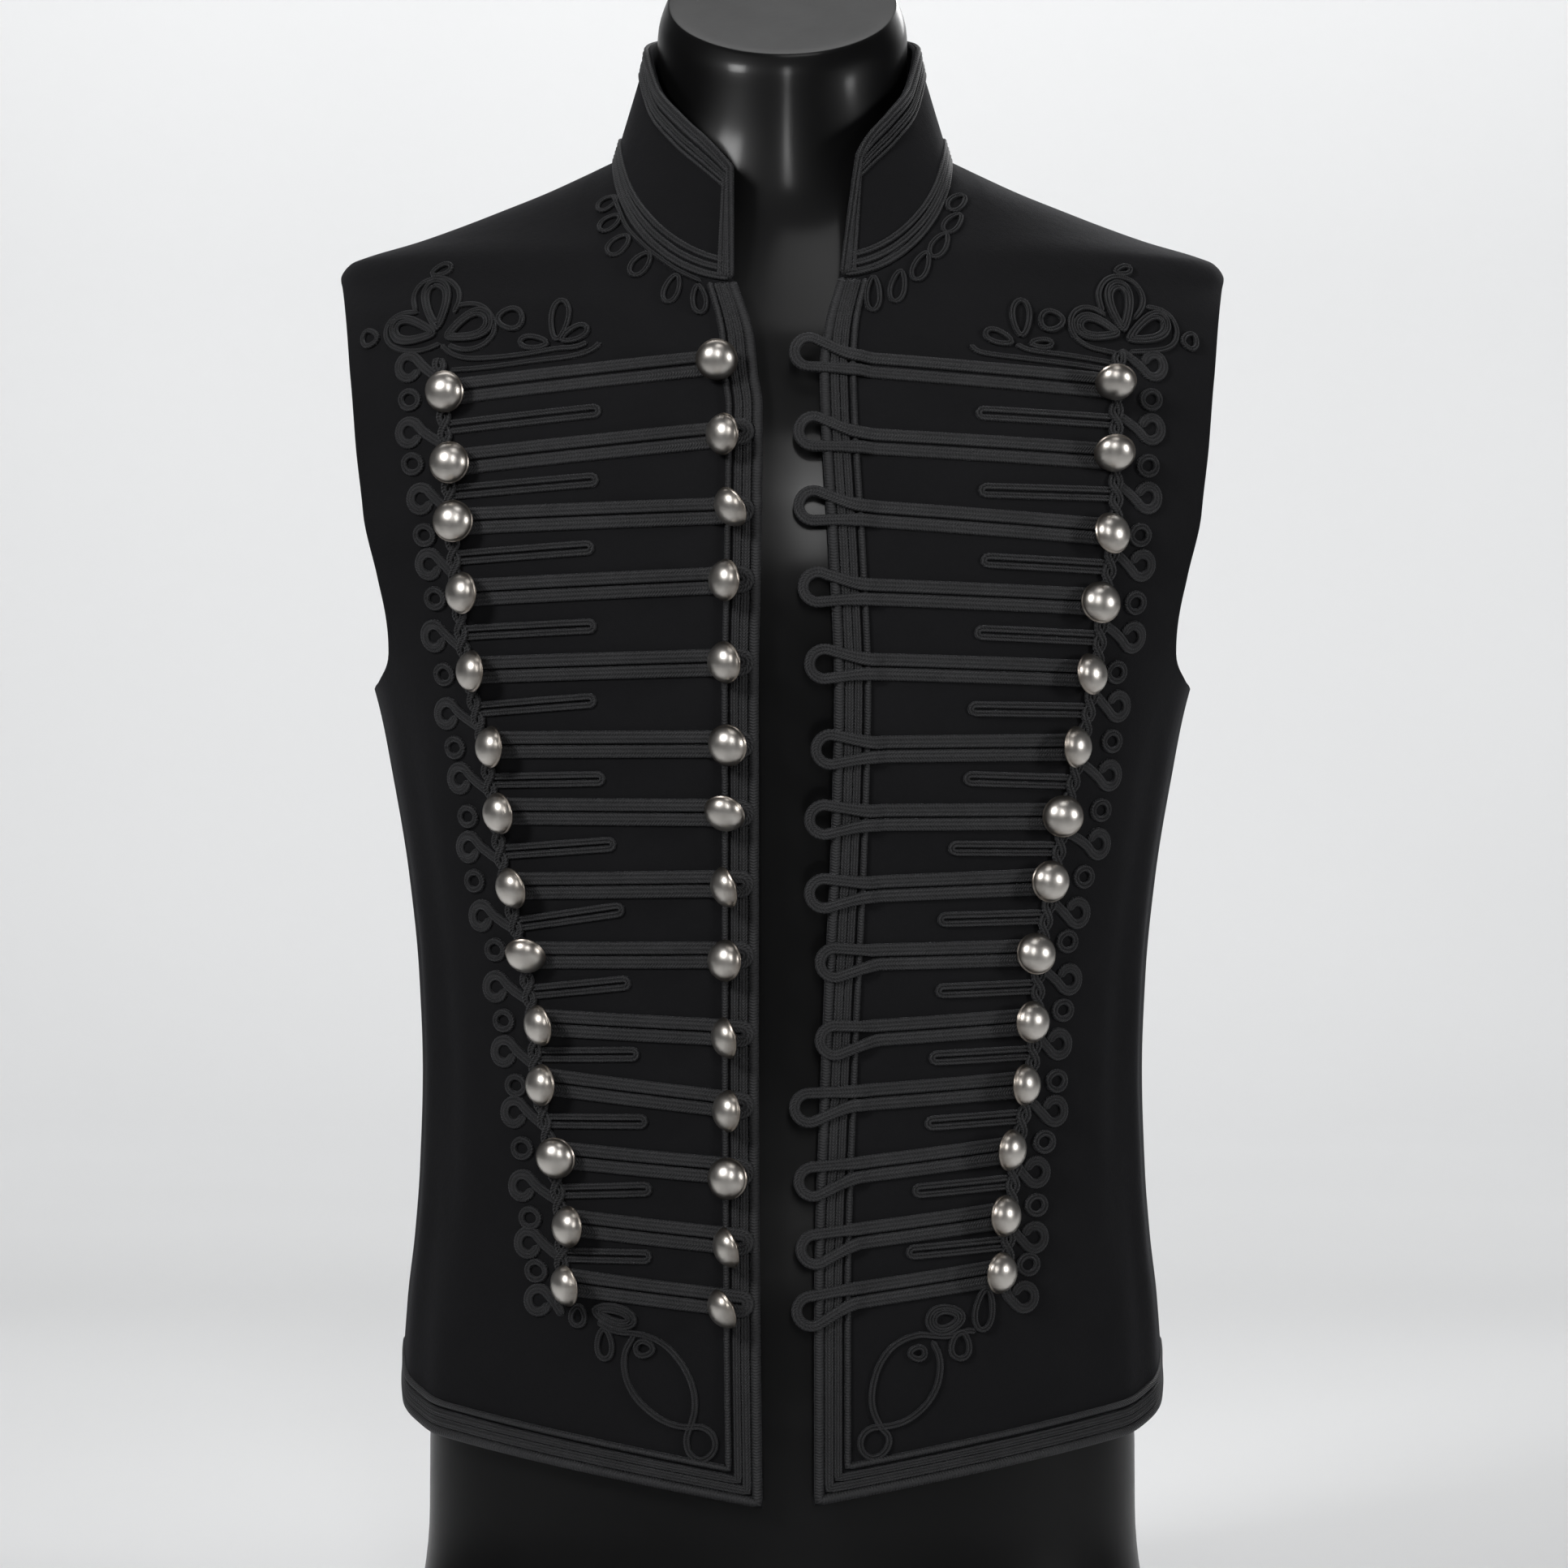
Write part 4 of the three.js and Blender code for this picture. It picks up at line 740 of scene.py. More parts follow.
# %% [markdown]
# The stand collar is a strip whose foot follows the neckline and whose top edge is nearer the
# neck. Its two coordinates are u, from 0 at the front corner to 2 at the centre back, and v, from 0
# at the seam to 1 at the top. The two front corners hang differently in the photograph, so the
# left one has its own place.

# %% Collar
COLLAR_TOP = np.array([          # u, then x, y and z of the top edge
    [0, 24.2, -75, 733], [0.25, 35, -66, 746.5], [0.5, 48, -53, 760], [0.75, 60, -31, 776],
    [1, 66, 2, 799], [1.5, 48, 50, 811], [2, 0, 68, 816],
])
COLLAR_CORNER = {"right": (24.2, -75, 733), "left": (36.6, -70, 740)}
COLLAR_HEIGHT = 58
COLLAR_GIRTH = 118               # mm for one step of u, near enough


def collar_foot(side, u):
    """On the neckline, which behind the shoulder is a ring of the body."""
    u = np.asarray(u, float)
    plan = neckline_point(side, np.clip(u, 0, 1))
    ahead = lay(plan[..., 0], plan[..., 1])
    behind = body_point(math.pi / 2 * np.clip(u, 1, 2.02), NECK_POINT)
    return np.where((u <= 1)[..., None], ahead, behind)


def collar_head(side, u):
    """The top edge, drawn towards this side's own front corner near the front."""
    u = np.asarray(u, float)
    head = np.stack([line(u) for line in curves(COLLAR_TOP)], -1)
    share = np.clip(1 - u, 0, 1) ** 2
    return head + share[..., None] * (np.array(COLLAR_CORNER[side]) - COLLAR_TOP[0, 1:])


def collar_skin(side, u, v):
    """Straight from the foot to the head."""
    foot, head = collar_foot(side, u), collar_head(side, u)
    return foot + (head - foot) * np.asarray(v, float)[..., None]


def on_collar(side, u, v, out=0.0):
    """A point of the collar, lifted off its foot by the seam and out along its normal."""
    u, v = np.broadcast_arrays(np.asarray(u, float), np.asarray(v, float))
    along = collar_skin(side, u + 0.01, v) - collar_skin(side, u - 0.01, v)
    rise = collar_skin(side, u, np.ones_like(v)) - collar_skin(side, u, np.zeros_like(v))
    length = np.linalg.norm(rise, axis=-1)
    point = collar_skin(side, u, v + SEAM / length * (1 - v))
    point = point + unit(np.cross(along, rise)) * np.asarray(out, float)[..., None]
    return point * (-1, 1, 1) if side == "right" else point


def collar_grid(out, u, v):
    """Both halves of the collar side by side, from the right front corner to the left one."""
    right = on_collar("right", u[None], v[:, None], out[:, :len(u)])
    left = on_collar("left", u[None], v[:, None], out[:, :len(u)])
    return np.concatenate([right, left[:, -2::-1]], 1)


u_lines = shares([(0, 1, 60, COLLAR_GIRTH), (1, 1.999, 60, COLLAR_GIRTH)], both=False)
v_lines = shares([(0, 1, 30, COLLAR_HEIGHT)], both=True)
base = collar_grid(np.zeros((len(v_lines), len(u_lines))), u_lines, v_lines)
half = edge_drop(border_distance(base, closed_left=False))[:, :len(u_lines)]
reach = 2 * COLLAR_GIRTH * MM
collar_uv = np.stack(np.broadcast_arrays(
    np.linspace(-reach, reach, base.shape[1])[None], COLLAR_HEIGHT * MM * v_lines[:, None]), -1)
outer, inner = (collar_grid(out, u_lines, v_lines) for out in (-half, half - CLOTH))
collar = make_piece("collar_cloth", [shell(outer, inner, collar_uv)], wool, ["collar"])

# %% [markdown]
# Every trim is a cord: a cross-section carried along a path in pattern coordinates. At each step
# the section is turned to stand on the cloth, by the surface's normal and the cord's direction. A
# free end is rounded by shrinking the last sections, as a cut cord is turned under.


# %% Cords along paths
def resample(path, step, closed=False):
    """The same line with equal steps."""
    path = np.asarray(path, float)
    if closed:
        path = np.concatenate([path, path[:1]])
    walked = walked_along(path[:, :2])
    count = max(3, int(round(walked[-1] / step)))
    goals = np.linspace(0, walked[-1], count + 1)[: count if closed else count + 1]
    return np.stack([np.interp(goals, walked, path[:, k]) for k in range(path.shape[1])], -1)


def rounded(path, times=3, closed=False):
    """Cuts the corners of a line, a quarter from each side, again and again, until it is smooth."""
    path = np.asarray(path, float)
    for _ in range(times):
        after = np.roll(path, -1, axis=0) if closed else path[1:]
        before = path if closed else path[:-1]
        cut = np.stack([0.75 * before + 0.25 * after, 0.25 * before + 0.75 * after], 1)
        cut = cut.reshape(-1, path.shape[1])
        path = cut if closed else np.concatenate([path[:1], cut, path[-1:]])
    return path


def arch(points=9):
    """A half-round section on a flat foot: across is the cosine and up the sine of an angle."""
    turn = np.linspace(0, math.pi, points)
    return 1, np.stack([0.5 * np.cos(turn), np.sin(turn)], -1)


def fluted(ridges, groove, steps=5):
    """A flat section with round ridges along it: up is an arch with a steep power, less the groove
    times the square of a cosine that has one wave for each ridge."""
    turn = np.linspace(0, math.pi, ridges * steps + 3)
    across = 0.5 * np.cos(turn)
    valley = np.cos(math.pi * ridges * (across + 0.5)) ** 2 * (np.abs(across) < 0.5 - 0.3 / ridges)
    return ridges, np.stack([across, np.sin(turn) ** 0.5 * (1 - groove * valley)], -1)


ROUND_CORD = arch(9)             # each section: its number of ridges, then its outline
FLAT_BRAID = fluted(3, 0.3)
SOUTACHE = fluted(2, 0.6)


def cord(path, width, height, out=0.0, section=SOUTACHE, closed=False, behind=False, place=lay,
         pointed=True):
    """One cord. path is (n, 2) or (n, 3) in pattern coordinates, the third being how far its foot
    stands off the cloth. Each section point is middle + across * a * width + normal * b * height."""
    path = np.asarray(path, float)
    ridges, outline = section
    foot = (path[:, 2] if path.shape[1] > 2 else 0.0) + np.zeros(len(path)) + out
    middle = place(path[:, 0], path[:, 1], np.zeros(len(path)), behind)
    normal = unit(place(path[:, 0], path[:, 1], np.ones(len(path)), behind) - middle)
    if closed:
        tangent = np.roll(middle, -1, axis=0) - np.roll(middle, 1, axis=0)
    else:
        tangent = np.gradient(middle, axis=0)
    across = unit(np.cross(normal, tangent))
    walked = walked_along(middle)
    width = np.broadcast_to(width, (len(path),)).astype(float)
    size = np.ones(len(path))
    if not closed and pointed:
        from_end = np.minimum(walked, walked[-1] - walked)
        size = np.sqrt(np.clip(1 - (1 - np.clip(from_end / (width / 2), 0, 1)) ** 2, 0.03, 1))
    a = outline[None, :, 0] * (width * size)[:, None]
    b = outline[None, :, 1] * (height * size)[:, None]
    points = (middle[:, None] + across[:, None] * a[..., None]
              + normal[:, None] * (foot[:, None] + b)[..., None])
    v = (outline[:, 0] * ridges + (0 if ridges % 2 else 0.5)) * RIDGE
    return tube(points, np.stack(np.broadcast_arrays(walked[:, None] * MM, v[None]), -1), closed)


def sided(side, path):
    """Moves pattern points of the left front to the wearer's right."""
    path = np.array(path, float)
    if side == "right":
        path[:, 0] *= -1
    return path


# %% [markdown]
# The broad braid is not one flat tape: from the edge inwards it is a round binding cord, two
# flat ribbed braids and, a little apart, one thin cord. Each of them is a cord of its own at its own
# distance from the cloth's edge. At the front corner they turn the corner together in a mitre,
# which comes by itself when every line is drawn parallel to both edges.

# %% Broad braid round the edges
BAND_WIDTH = 17.5
BAND_INSET = 0.2
BAND_TOP = 2.4                   # thickness of the band, which the bars cross
SIDE_LEVEL = 160.0               # about where the hem meets the side seam
SIDE_GAP = 0.004                 # radians that a band stops short of the side seam
PRESSED_OVER = 45                # mm before the seam over which a band is pressed flat
BAND_LINES = [                   # middle and width of each cord, and its height
    (2.5, 4.9, 2.7, ROUND_CORD), (7.2, 4.4, 2.1, FLAT_BRAID), (11.4, 3.8, 2.1, FLAT_BRAID),
    (16.0, 3.1, 2.3, ROUND_CORD),
]


def band_share(z):
    """The band narrows a little towards the neck."""
    return 1 - 0.2 * smoothstep(z, 625, 680)


def edge_line(side, inset):
    """Parallel to the front edge and then to the hem, inset mm inside both."""
    low = HEM_FRONT + inset * (1 + HEM_RISE) + HEM_RISE * float(front_edge[side](100))
    z = np.linspace(NECK_CORNER[side][1] - 1.5, low, 240)
    rise = np.stack([seen(front_edge[side](z), z)[:, 0] + BAND_INSET
                     + (inset - BAND_INSET) * band_share(z), z], -1)
    start = float(angle_at(rise[-1, 0], rise[-1, 1]))
    angle = np.linspace(start, seam_angle(SIDE_LEVEL, False) - SIDE_GAP, 140)
    level = hem_height(angle, False) + inset
    level = level + (rise[-1, 1] - level[0]) * np.exp(-np.linspace(0, 40, 140))
    hem = np.stack([round_at(angle, level), level], -1)
    return np.concatenate([rise, hem[1:]])


def pressed(line):
    """Share of a cord's height along a line: it is pressed flat where it meets the side seam."""
    end = abs(line[-1, 0])
    return 1 - 0.65 * smoothstep(np.abs(line[:, 0]), end - PRESSED_OVER, end)


def band(side):
    """All cords of the band along one front."""
    lines = [edge_line(side, row[0]) for row in BAND_LINES]
    return [cord(sided(side, line), width, height * pressed(line), section=section, pointed=False)
            for line, (_, width, height, section) in zip(lines, BAND_LINES)]


def back_hem():
    """The same cords along the back's hem."""
    cords = []
    for middle, width, height, section in BAND_LINES:
        angle = np.linspace(0, seam_angle(SIDE_LEVEL, True) - SIDE_GAP, 150)
        level = hem_height(angle, True) + middle
        half = np.stack([round_at(angle, level, True), level], -1)
        line = np.concatenate([half[:0:-1] * (-1, 1), half])
        cords.append(cord(line, width, height * pressed(line), section=section, behind=True,
                          pointed=False))
    return cords


for side in ("right", "left"):
    make_piece(f"edge_band_{side}", band(side), broad_braid, [f"edge_braid_{side}"])
make_piece("hem_band_back", back_hem(), broad_braid, ["hem_braid_back"])

# %% [markdown]
# The collar has its own, narrower set: two cords and two fine ones up the front edges and round
# the top, and three ridges along the seam at its foot, which cover where collar and neckline meet.


# %% Braid on the collar
def place_on_collar(a, b, out, _behind):
    """Pattern coordinates of the collar: mm along from the right corner and mm up from the foot."""
    middle = 2 * COLLAR_GIRTH
    far = a > middle
    u = np.clip(np.where(far, 2 * middle - a, a) / COLLAR_GIRTH, 0.004, 1.9995)
    right = on_collar("right", u, b / COLLAR_HEIGHT, out)
    left = on_collar("left", u, b / COLLAR_HEIGHT, out)
    return np.where(far[:, None], left, right)


def collar_line(inset, top_inset):
    """Up the right front edge, round the top and down the left edge."""
    end = 4 * COLLAR_GIRTH
    top = COLLAR_HEIGHT - top_inset
    up = np.stack([np.full(30, inset), np.linspace(1.0, top, 30)], -1)
    over = np.stack([np.linspace(inset, end - inset, 260), np.full(260, top)], -1)
    return np.concatenate([up, over[1:-1], (up * (-1, 1) + (end, 0))[::-1]])


def foot_line(level):
    """Along the seam at the collar's foot."""
    a = np.linspace(2.5, 4 * COLLAR_GIRTH - 2.5, 300)
    return np.stack([a, np.full(300, level)], -1)


COLLAR_LINES = [                 # inset from the front edge and from the top, width, height, section
    (2.1, 2.1, 3.9, 2.3, SOUTACHE), (4.9, 5.2, 2.3, 1.8, ROUND_CORD), (7.3, 8.6, 2.5, 1.7, SOUTACHE),
    (9.4, 11.0, 1.8, 1.4, ROUND_CORD), (9.4, 13.4, 1.7, 1.3, ROUND_CORD),
]
FOOT_LINES = [(2.0, 3.6, 1.5), (6.0, 3.2, 1.5), (10.0, 3.0, 1.5)]   # height, width and thickness
collar_cords = [cord(collar_line(inset, down), width, height, place=place_on_collar, section=section)
                for inset, down, width, height, section in COLLAR_LINES]
collar_cords += [cord(foot_line(level), width, height, place=place_on_collar)
                 for level, width, height in FOOT_LINES]
make_piece("collar_band", collar_cords, broad_braid, ["collar_braid"])

# %% [markdown]
# The frogging has one row for each bar. On the wearer's right a row holds an outer and an inner
# button and the tip of the hairpin above the bar; on the left the loop's tip takes the inner
# button's place. All are measured across from the centre line and up, in millimetres.

# %% Rows of the frogging
ROW_COLUMNS = ("outer_x outer_z inner_x inner_z pin_x pin_z outer_turn outer_nod "
               "inner_turn inner_nod").split()
ROWS = {
    "right": [
        [162, 623, 31, 636, 85, 643, -20, -5, 0, -15], [159, 589, 30, 601, 87, 613, -16, 0, -45, 0],
        [157, 561, 26, 565, 88, 580, -14, 0, -52, -25], [154, 527, 29, 532, 90, 548, -47, 0, -50, 0],
        [150, 490, 29, 493, 89, 511, -57, 0, -45, -8], [141, 454, 27, 454, 89, 476, -58, 0, -25, -10],
        [137, 422, 28, 421, 85, 439, -50, -8, -20, -35],
        [131, 386, 29, 387, 80, 408, -52, -15, -65, -15],
        [123, 353, 29, 353, 76, 377, -15, -38, -42, 0],
        [118, 321, 29, 316, 73, 342, -58, -10, -66, -10], [117, 293, 28, 282, 69, 308, -52, 0, -58, 0],
        [109, 258, 27, 250, 65, 276, -20, -8, -20, 0], [104, 226, 28, 217, 63, 244, -50, 0, -66, -15],
        [105, 198, 30, 188, 63, 212, -58, -8, -62, -22],
    ],
    "left": [
        [159, 626, 3, 640, 88, 641, 5, -36], [158, 592, 5, 602, 93, 612, 5, -30],
        [158, 556, 5, 567, 94, 575, 35, 12], [152, 523, 7, 529, 95, 542, 18, 8],
        [149, 489, 10, 493, 92, 508, 50, 8], [142, 454, 13, 453, 89, 472, 56, 0],
        [134, 421, 10, 420, 87, 439, 8, 0], [129, 390, 10, 385, 80, 406, 25, 0],
        [122, 356, 15, 352, 75, 372, 20, 8], [121, 323, 15, 315, 74, 338, 40, 0],
        [118, 293, 3, 283, 71, 306, 56, 0], [111, 262, 5, 248, 69, 275, 56, -5],
        [108, 231, 6, 216, 63, 243, 50, 0], [106, 204, 4, 187, 60, 214, 50, -5],
    ],
}
for side, rows in ROWS.items():
    ROWS[side] = [dict(zip(ROW_COLUMNS, row)) for row in rows]
CHAIN = {                        # middles of the curls beside each spine, large and small in turn
    "right": [
        (179, 636), (178, 620), (178, 604), (176, 589), (172, 572), (170, 555), (168, 541),
        (165, 525), (166, 507), (161, 489), (160, 470), (156, 454), (154, 439), (150, 421),
        (150, 406), (147, 390), (144, 373), (137, 357), (137, 339), (133, 323), (133, 308),
        (127, 292), (128, 279), (124, 262), (124, 244), (120, 229), (121, 217), (117, 204),
        (116, 190)],
    "left": [
        (178, 637), (176, 620), (176, 606), (174, 588), (174, 573), (170, 555), (171, 541),
        (168, 523), (167, 507), (159, 490), (160, 474), (157, 457), (156, 441), (152, 424),
        (151, 408), (144, 392), (141, 375), (136, 361), (137, 343), (134, 328), (132, 312),
        (131, 294), (130, 280), (125, 265), (121, 251), (121, 235), (120, 220), (117, 207),
        (115, 192)],
}
print(len(ROWS["right"]), "bars on each side")

# %% [markdown]
# A bar is one heavy cord laid double: out from the spine, round in an eyelet and back beside
# itself. On the left the two runs part at the band's inner edge and the cord goes round a circle
# between them, so that the eyelet can be slipped over a button. On the right the end is a small
# closed loop beside the button. Where a bar crosses the band it climbs over it.

# %% Bars, hairpins and spine
HEAVY = 6.1                      # width of one run of heavy cord
HEAVY_HEIGHT = 2.2
RUN = 3.4                        # from the middle of a bar to the middle of each run
THIN = 3.2
THIN_HEIGHT = 1.9
EYELET_AT = 9.7                  # from an eyelet's tip to its middle
EYELET_RADIUS = 7.0              # to the middle of its cord
EYELET_ENDS = 26.5               # from its tip to where the two runs meet again
LOOP_AT = 19.4                   # from the centre line to the middle of the small loop at the right
TWIST = 17                       # mm of spine for one turn of its two cords
TWIST_REACH = 2.1                # how far each swings to a side
TWIST_STEP = 1.5


def band_lift(side, x, z):
    """How far a cord's foot stands off the cloth, so that it climbs over the band's inner edge."""
    edge = front_edge[side](z) + BAND_INSET + BAND_WIDTH * band_share(z)
    return BAND_TOP * smoothstep(edge + 8 - x, 0, 7.5)


def lifted(side, path, extra=0.0):
    """Photograph-plane points as pattern points with the lift over the band."""
    path = np.asarray(path, float)
    plan = seen(path[:, 0], path[:, 1])
    return np.column_stack([plan, band_lift(side, path[:, 0], path[:, 1]) + extra])


def runs_of_bar(inner, outer):
    """The two runs' middle lines from the outer end to the inner one: a straight line between the
    two points, moved by RUN to each side. Also the direction along the bar."""
    inner, outer = np.array(inner, float), np.array(outer, float)
    length = np.linalg.norm(outer - inner)
    along = (outer - inner) / length
    up = left_of(along)
    reach = np.linspace(length, 1.5, 12)[:, None]
    return inner + reach * along - RUN * up, inner + reach * along + RUN * up, along


def left_bar(row, k):
    """One cord out and back: its two runs part at the band, and between them it goes round a
    circle. Higher eyelets stand above their bar's line, and lower ones hang below it."""
    tip = np.array([row["inner_x"], row["inner_z"]], float)
    meet = tip + (EYELET_ENDS, -4.5 + 0.85 * k)
    lower, upper, _ = runs_of_bar(meet, (row["outer_x"], row["outer_z"]))
    middle = tip + (EYELET_AT, 0)
    facing = math.atan2(*(meet - middle)[::-1])
    turn = facing - np.radians(np.linspace(70, 290, 23))
    eyelet = middle + EYELET_RADIUS * np.column_stack([np.cos(turn), np.sin(turn)])
    path = resample(rounded(np.concatenate([lower, eyelet, upper[::-1]]), 2), 1.6)
    width = HEAVY - 0.9 * smoothstep(tip[0] + EYELET_ENDS + 3 - path[:, 0], 0, 9)
    return path, width


def right_bar(row, k):
    """The two runs turn back in a small loop just beyond the inner button. The lower bars lie a
    little above the middles of their buttons."""
    raised = 1.7 * float(smoothstep(k, 2, 7))
    button = np.array([row["inner_x"], row["inner_z"] + raised + 0.2 * max(0, k - 4)], float)
    outer = (row["outer_x"], row["outer_z"] + raised)
    end = min(row["inner_x"] - LOOP_AT, 4 if k == 0 else 99)
    lower, upper, along = runs_of_bar(button, outer)
    up = left_of(along)
    turn = np.radians(np.linspace(-90, 90, 13))[:, None]
    loop = button - along * (end + RUN * np.cos(turn)) + up * RUN * np.sin(turn)
    path = resample(rounded(np.concatenate([lower, loop, upper[::-1]]), 2), 1.6)
    return path, np.full(len(path), HEAVY)


def spine_points(side):
    """The outer buttons from the top down, with an end above and below."""
    rows = ROWS[side]
    line = [(row["outer_x"], row["outer_z"]) for row in rows]
    return np.array([(line[0][0] + 2, line[0][1] + 17), *line, (line[-1][0] - 1, line[-1][1] - 10)])


def spine(side):
    """Two thin cords twisted round each other: each swings from side to side by the sine of the
    distance along the spine, one half a turn behind the other, and rises as it crosses over."""
    line = resample(rounded(seen(*spine_points(side).T), 2), TWIST_STEP)
    walked = TWIST_STEP * np.arange(len(line))
    ahead = unit(np.gradient(line, axis=0))
    across = np.column_stack([-ahead[:, 1], ahead[:, 0]])
    strands = []
    for phase in (0.0, math.pi):
        swing = 2 * math.pi * walked / TWIST + phase
        path = line + across * (TWIST_REACH * np.sin(swing))[:, None]
        strands.append(np.column_stack([path, 0.9 + 0.7 * np.cos(swing)]))
    return strands


def hairpin(side, k):
    """A thin cord out from the spine to its tip and back, midway between two bars."""
    above, row = ROWS[side][k - 1:k + 1]
    tip = np.array([row["pin_x"], row["pin_z"]], float)
    root = np.array([(row["outer_x"] + above["outer_x"]) / 2 - 1,
                     (row["outer_z"] + above["outer_z"]) / 2])
    along = (root - tip) / np.linalg.norm(root - tip)
    up = left_of(along)
    length = np.linalg.norm(root - tip)
    turn = np.linspace(-math.pi / 2, math.pi / 2, 9)
    gap = 2.05
    bend = np.column_stack([gap - gap * np.cos(turn), gap * np.sin(turn)])
    leg = np.column_stack([np.linspace(gap + 2, length, 8), np.full(8, gap)])
    local = np.concatenate([leg[::-1] * (1, -1), bend, leg])
    return resample(lifted(side, tip + local[:, :1] * along + local[:, 1:] * up), 1.4)


# %% [markdown]
# Beside the spine runs a chain of curls, large and small in turn. A large one is a broad cord
# that leaves the spine, goes over the top and round a circle, and ends under itself; a small one
# is a single ring beside a button. In the knots the curls are teardrops, and a large one is laid
# double, one thin cord inside the other. A teardrop is a circle whose breadth shrinks towards
# its narrow end.


# %% Curls
def teardrop(length, breadth, steps=26, narrow=0.55):
    """Closed outline about its middle: along is the cosine, and across is the sine times a factor
    that falls from 1 at the round end to 1 - narrow at the narrow one."""
    turn = np.linspace(0, 2 * math.pi, steps, endpoint=False)
    along = np.cos(turn) * length / 2
    across = np.sin(turn) * breadth / 2 * (1 - narrow / 2 + narrow / 2 * np.cos(turn))
    return np.column_stack([along, across])


def curl(side, middle, length, breadth, degrees, width=THIN, height=THIN_HEIGHT, double=False,
         lift=0.0, narrow=0.55):
    """Thin cord in a closed curl round middle, a pattern point, with its round end at degrees."""
    turn = math.radians(degrees)
    spin = np.array([[math.cos(turn), math.sin(turn)], [-math.sin(turn), math.cos(turn)]])
    sizes = [(length - width, breadth - width)]
    if double:
        sizes.append((length - 3.05 * width, breadth - 3.05 * width))
    made = []
    for long, wide in sizes:
        flat = np.asarray(middle) + teardrop(long, wide, narrow=narrow) @ spin
        made.append(cord(sided(side, resample(flat, 1.3, closed=True)), width, height, out=lift,
                         closed=True))
    return made


def big_curl(side, middle, root):
    """A doubled cord from the spine over the top, round a circle and back under itself. On the
    wearer's left it leaves the spine above the curl instead, so its heights are turned over."""
    turn = np.radians(np.linspace(150, -175, 24))
    radius = np.linspace(5.9, 5.1, 24)
    ring = np.column_stack([np.cos(turn), np.sin(turn)]) * radius[:, None]
    start = np.array([(-8.8, -0.6)])
    local = np.concatenate([start, ring])
    if side == "left":
        local = local * (1, -1)
    path = np.concatenate([[root], middle + local])
    return cord(sided(side, resample(rounded(path, 2), 1.4)), 5.0, THIN_HEIGHT, section=FLAT_BRAID)


def chain(side):
    """Curls beside the spine, large and small in turn, each large one with a stem to the spine."""
    made = []
    line = spine_points(side)[::-1]
    lean = 7.0 if side == "left" else -7.0
    for k, (x, z) in enumerate(CHAIN[side]):
        middle = seen(x, z)
        if k % 2:
            made += curl(side, middle, 12.8, 12.0, 10, lift=0.3, narrow=0.1)
        else:
            root_x = np.interp(z + lean, line[:, 1], line[:, 0])
            made.append(big_curl(side, middle, seen(root_x, z + lean)))
    return made


def frogging(side):
    """Everything on one front's frogging: bars, hairpins and spine."""
    bar = left_bar if side == "left" else right_bar
    made = []
    for k, row in enumerate(ROWS[side]):
        path, width = bar(row, k)
        made.append(cord(sided(side, lifted(side, path)), width, HEAVY_HEIGHT, section=FLAT_BRAID))
        if k:
            made.append(cord(sided(side, hairpin(side, k)), THIN, THIN_HEIGHT))
    for path in spine(side):
        made.append(cord(sided(side, path), 3.5, 2.1))
    return made


for side in ("right", "left"):
    make_piece(f"bars_{side}", frogging(side), broad_braid, [f"frogging_{side}"])
    make_piece(f"curls_{side}", chain(side), thin_braid, [f"frogging_{side}"])

# %% [markdown]
# Above the top bar sits a knot of leaf-shaped lobes, under the last bar a scroll runs down to the
# hem, and a row of loops follows the seam of the collar. All are thin cord drawn in closed curls
# and open strokes, and each has two short tables: the curls by middle, size and direction, the
# strokes by the points that the cord passes. The strokes are rounded, as cord can't turn a sharp
# corner.

# %% Knots and scrolls
KNOT_CURLS = {                   # x, z, length, breadth, direction of the round end, laid double
    "right": [
        (166.3, 667, 27, 21.5, 85, 1), (177.5, 654, 27, 19.5, 8, 1), (150, 655, 27, 20.5, 158, 1),
        (164.3, 684.3, 13.5, 8.5, 160, 0), (198.7, 651.4, 12, 12, 0, 0), (130, 658.5, 15, 15, 180, 0),
        (106.2, 657.5, 22, 13, 97, 0), (98.8, 650.6, 16, 10, 155, 0), (118.4, 646.5, 16, 9.5, 5, 0)],
    "left": [
        (162.2, 666, 27, 20.5, 95, 1), (175.7, 654.6, 27, 20, 25, 1), (150.4, 654.2, 25, 18, 168, 1),
        (164.3, 684.3, 11, 7.5, 10, 0), (196.2, 649.7, 11, 12, 0, 0), (128.6, 657.5, 14, 14, 180, 0),
        (113.9, 658.7, 20, 13, 90, 0), (102.8, 648.9, 16, 9.8, 160, 0), (123.3, 646, 13, 7.5, 0, 0)],
}
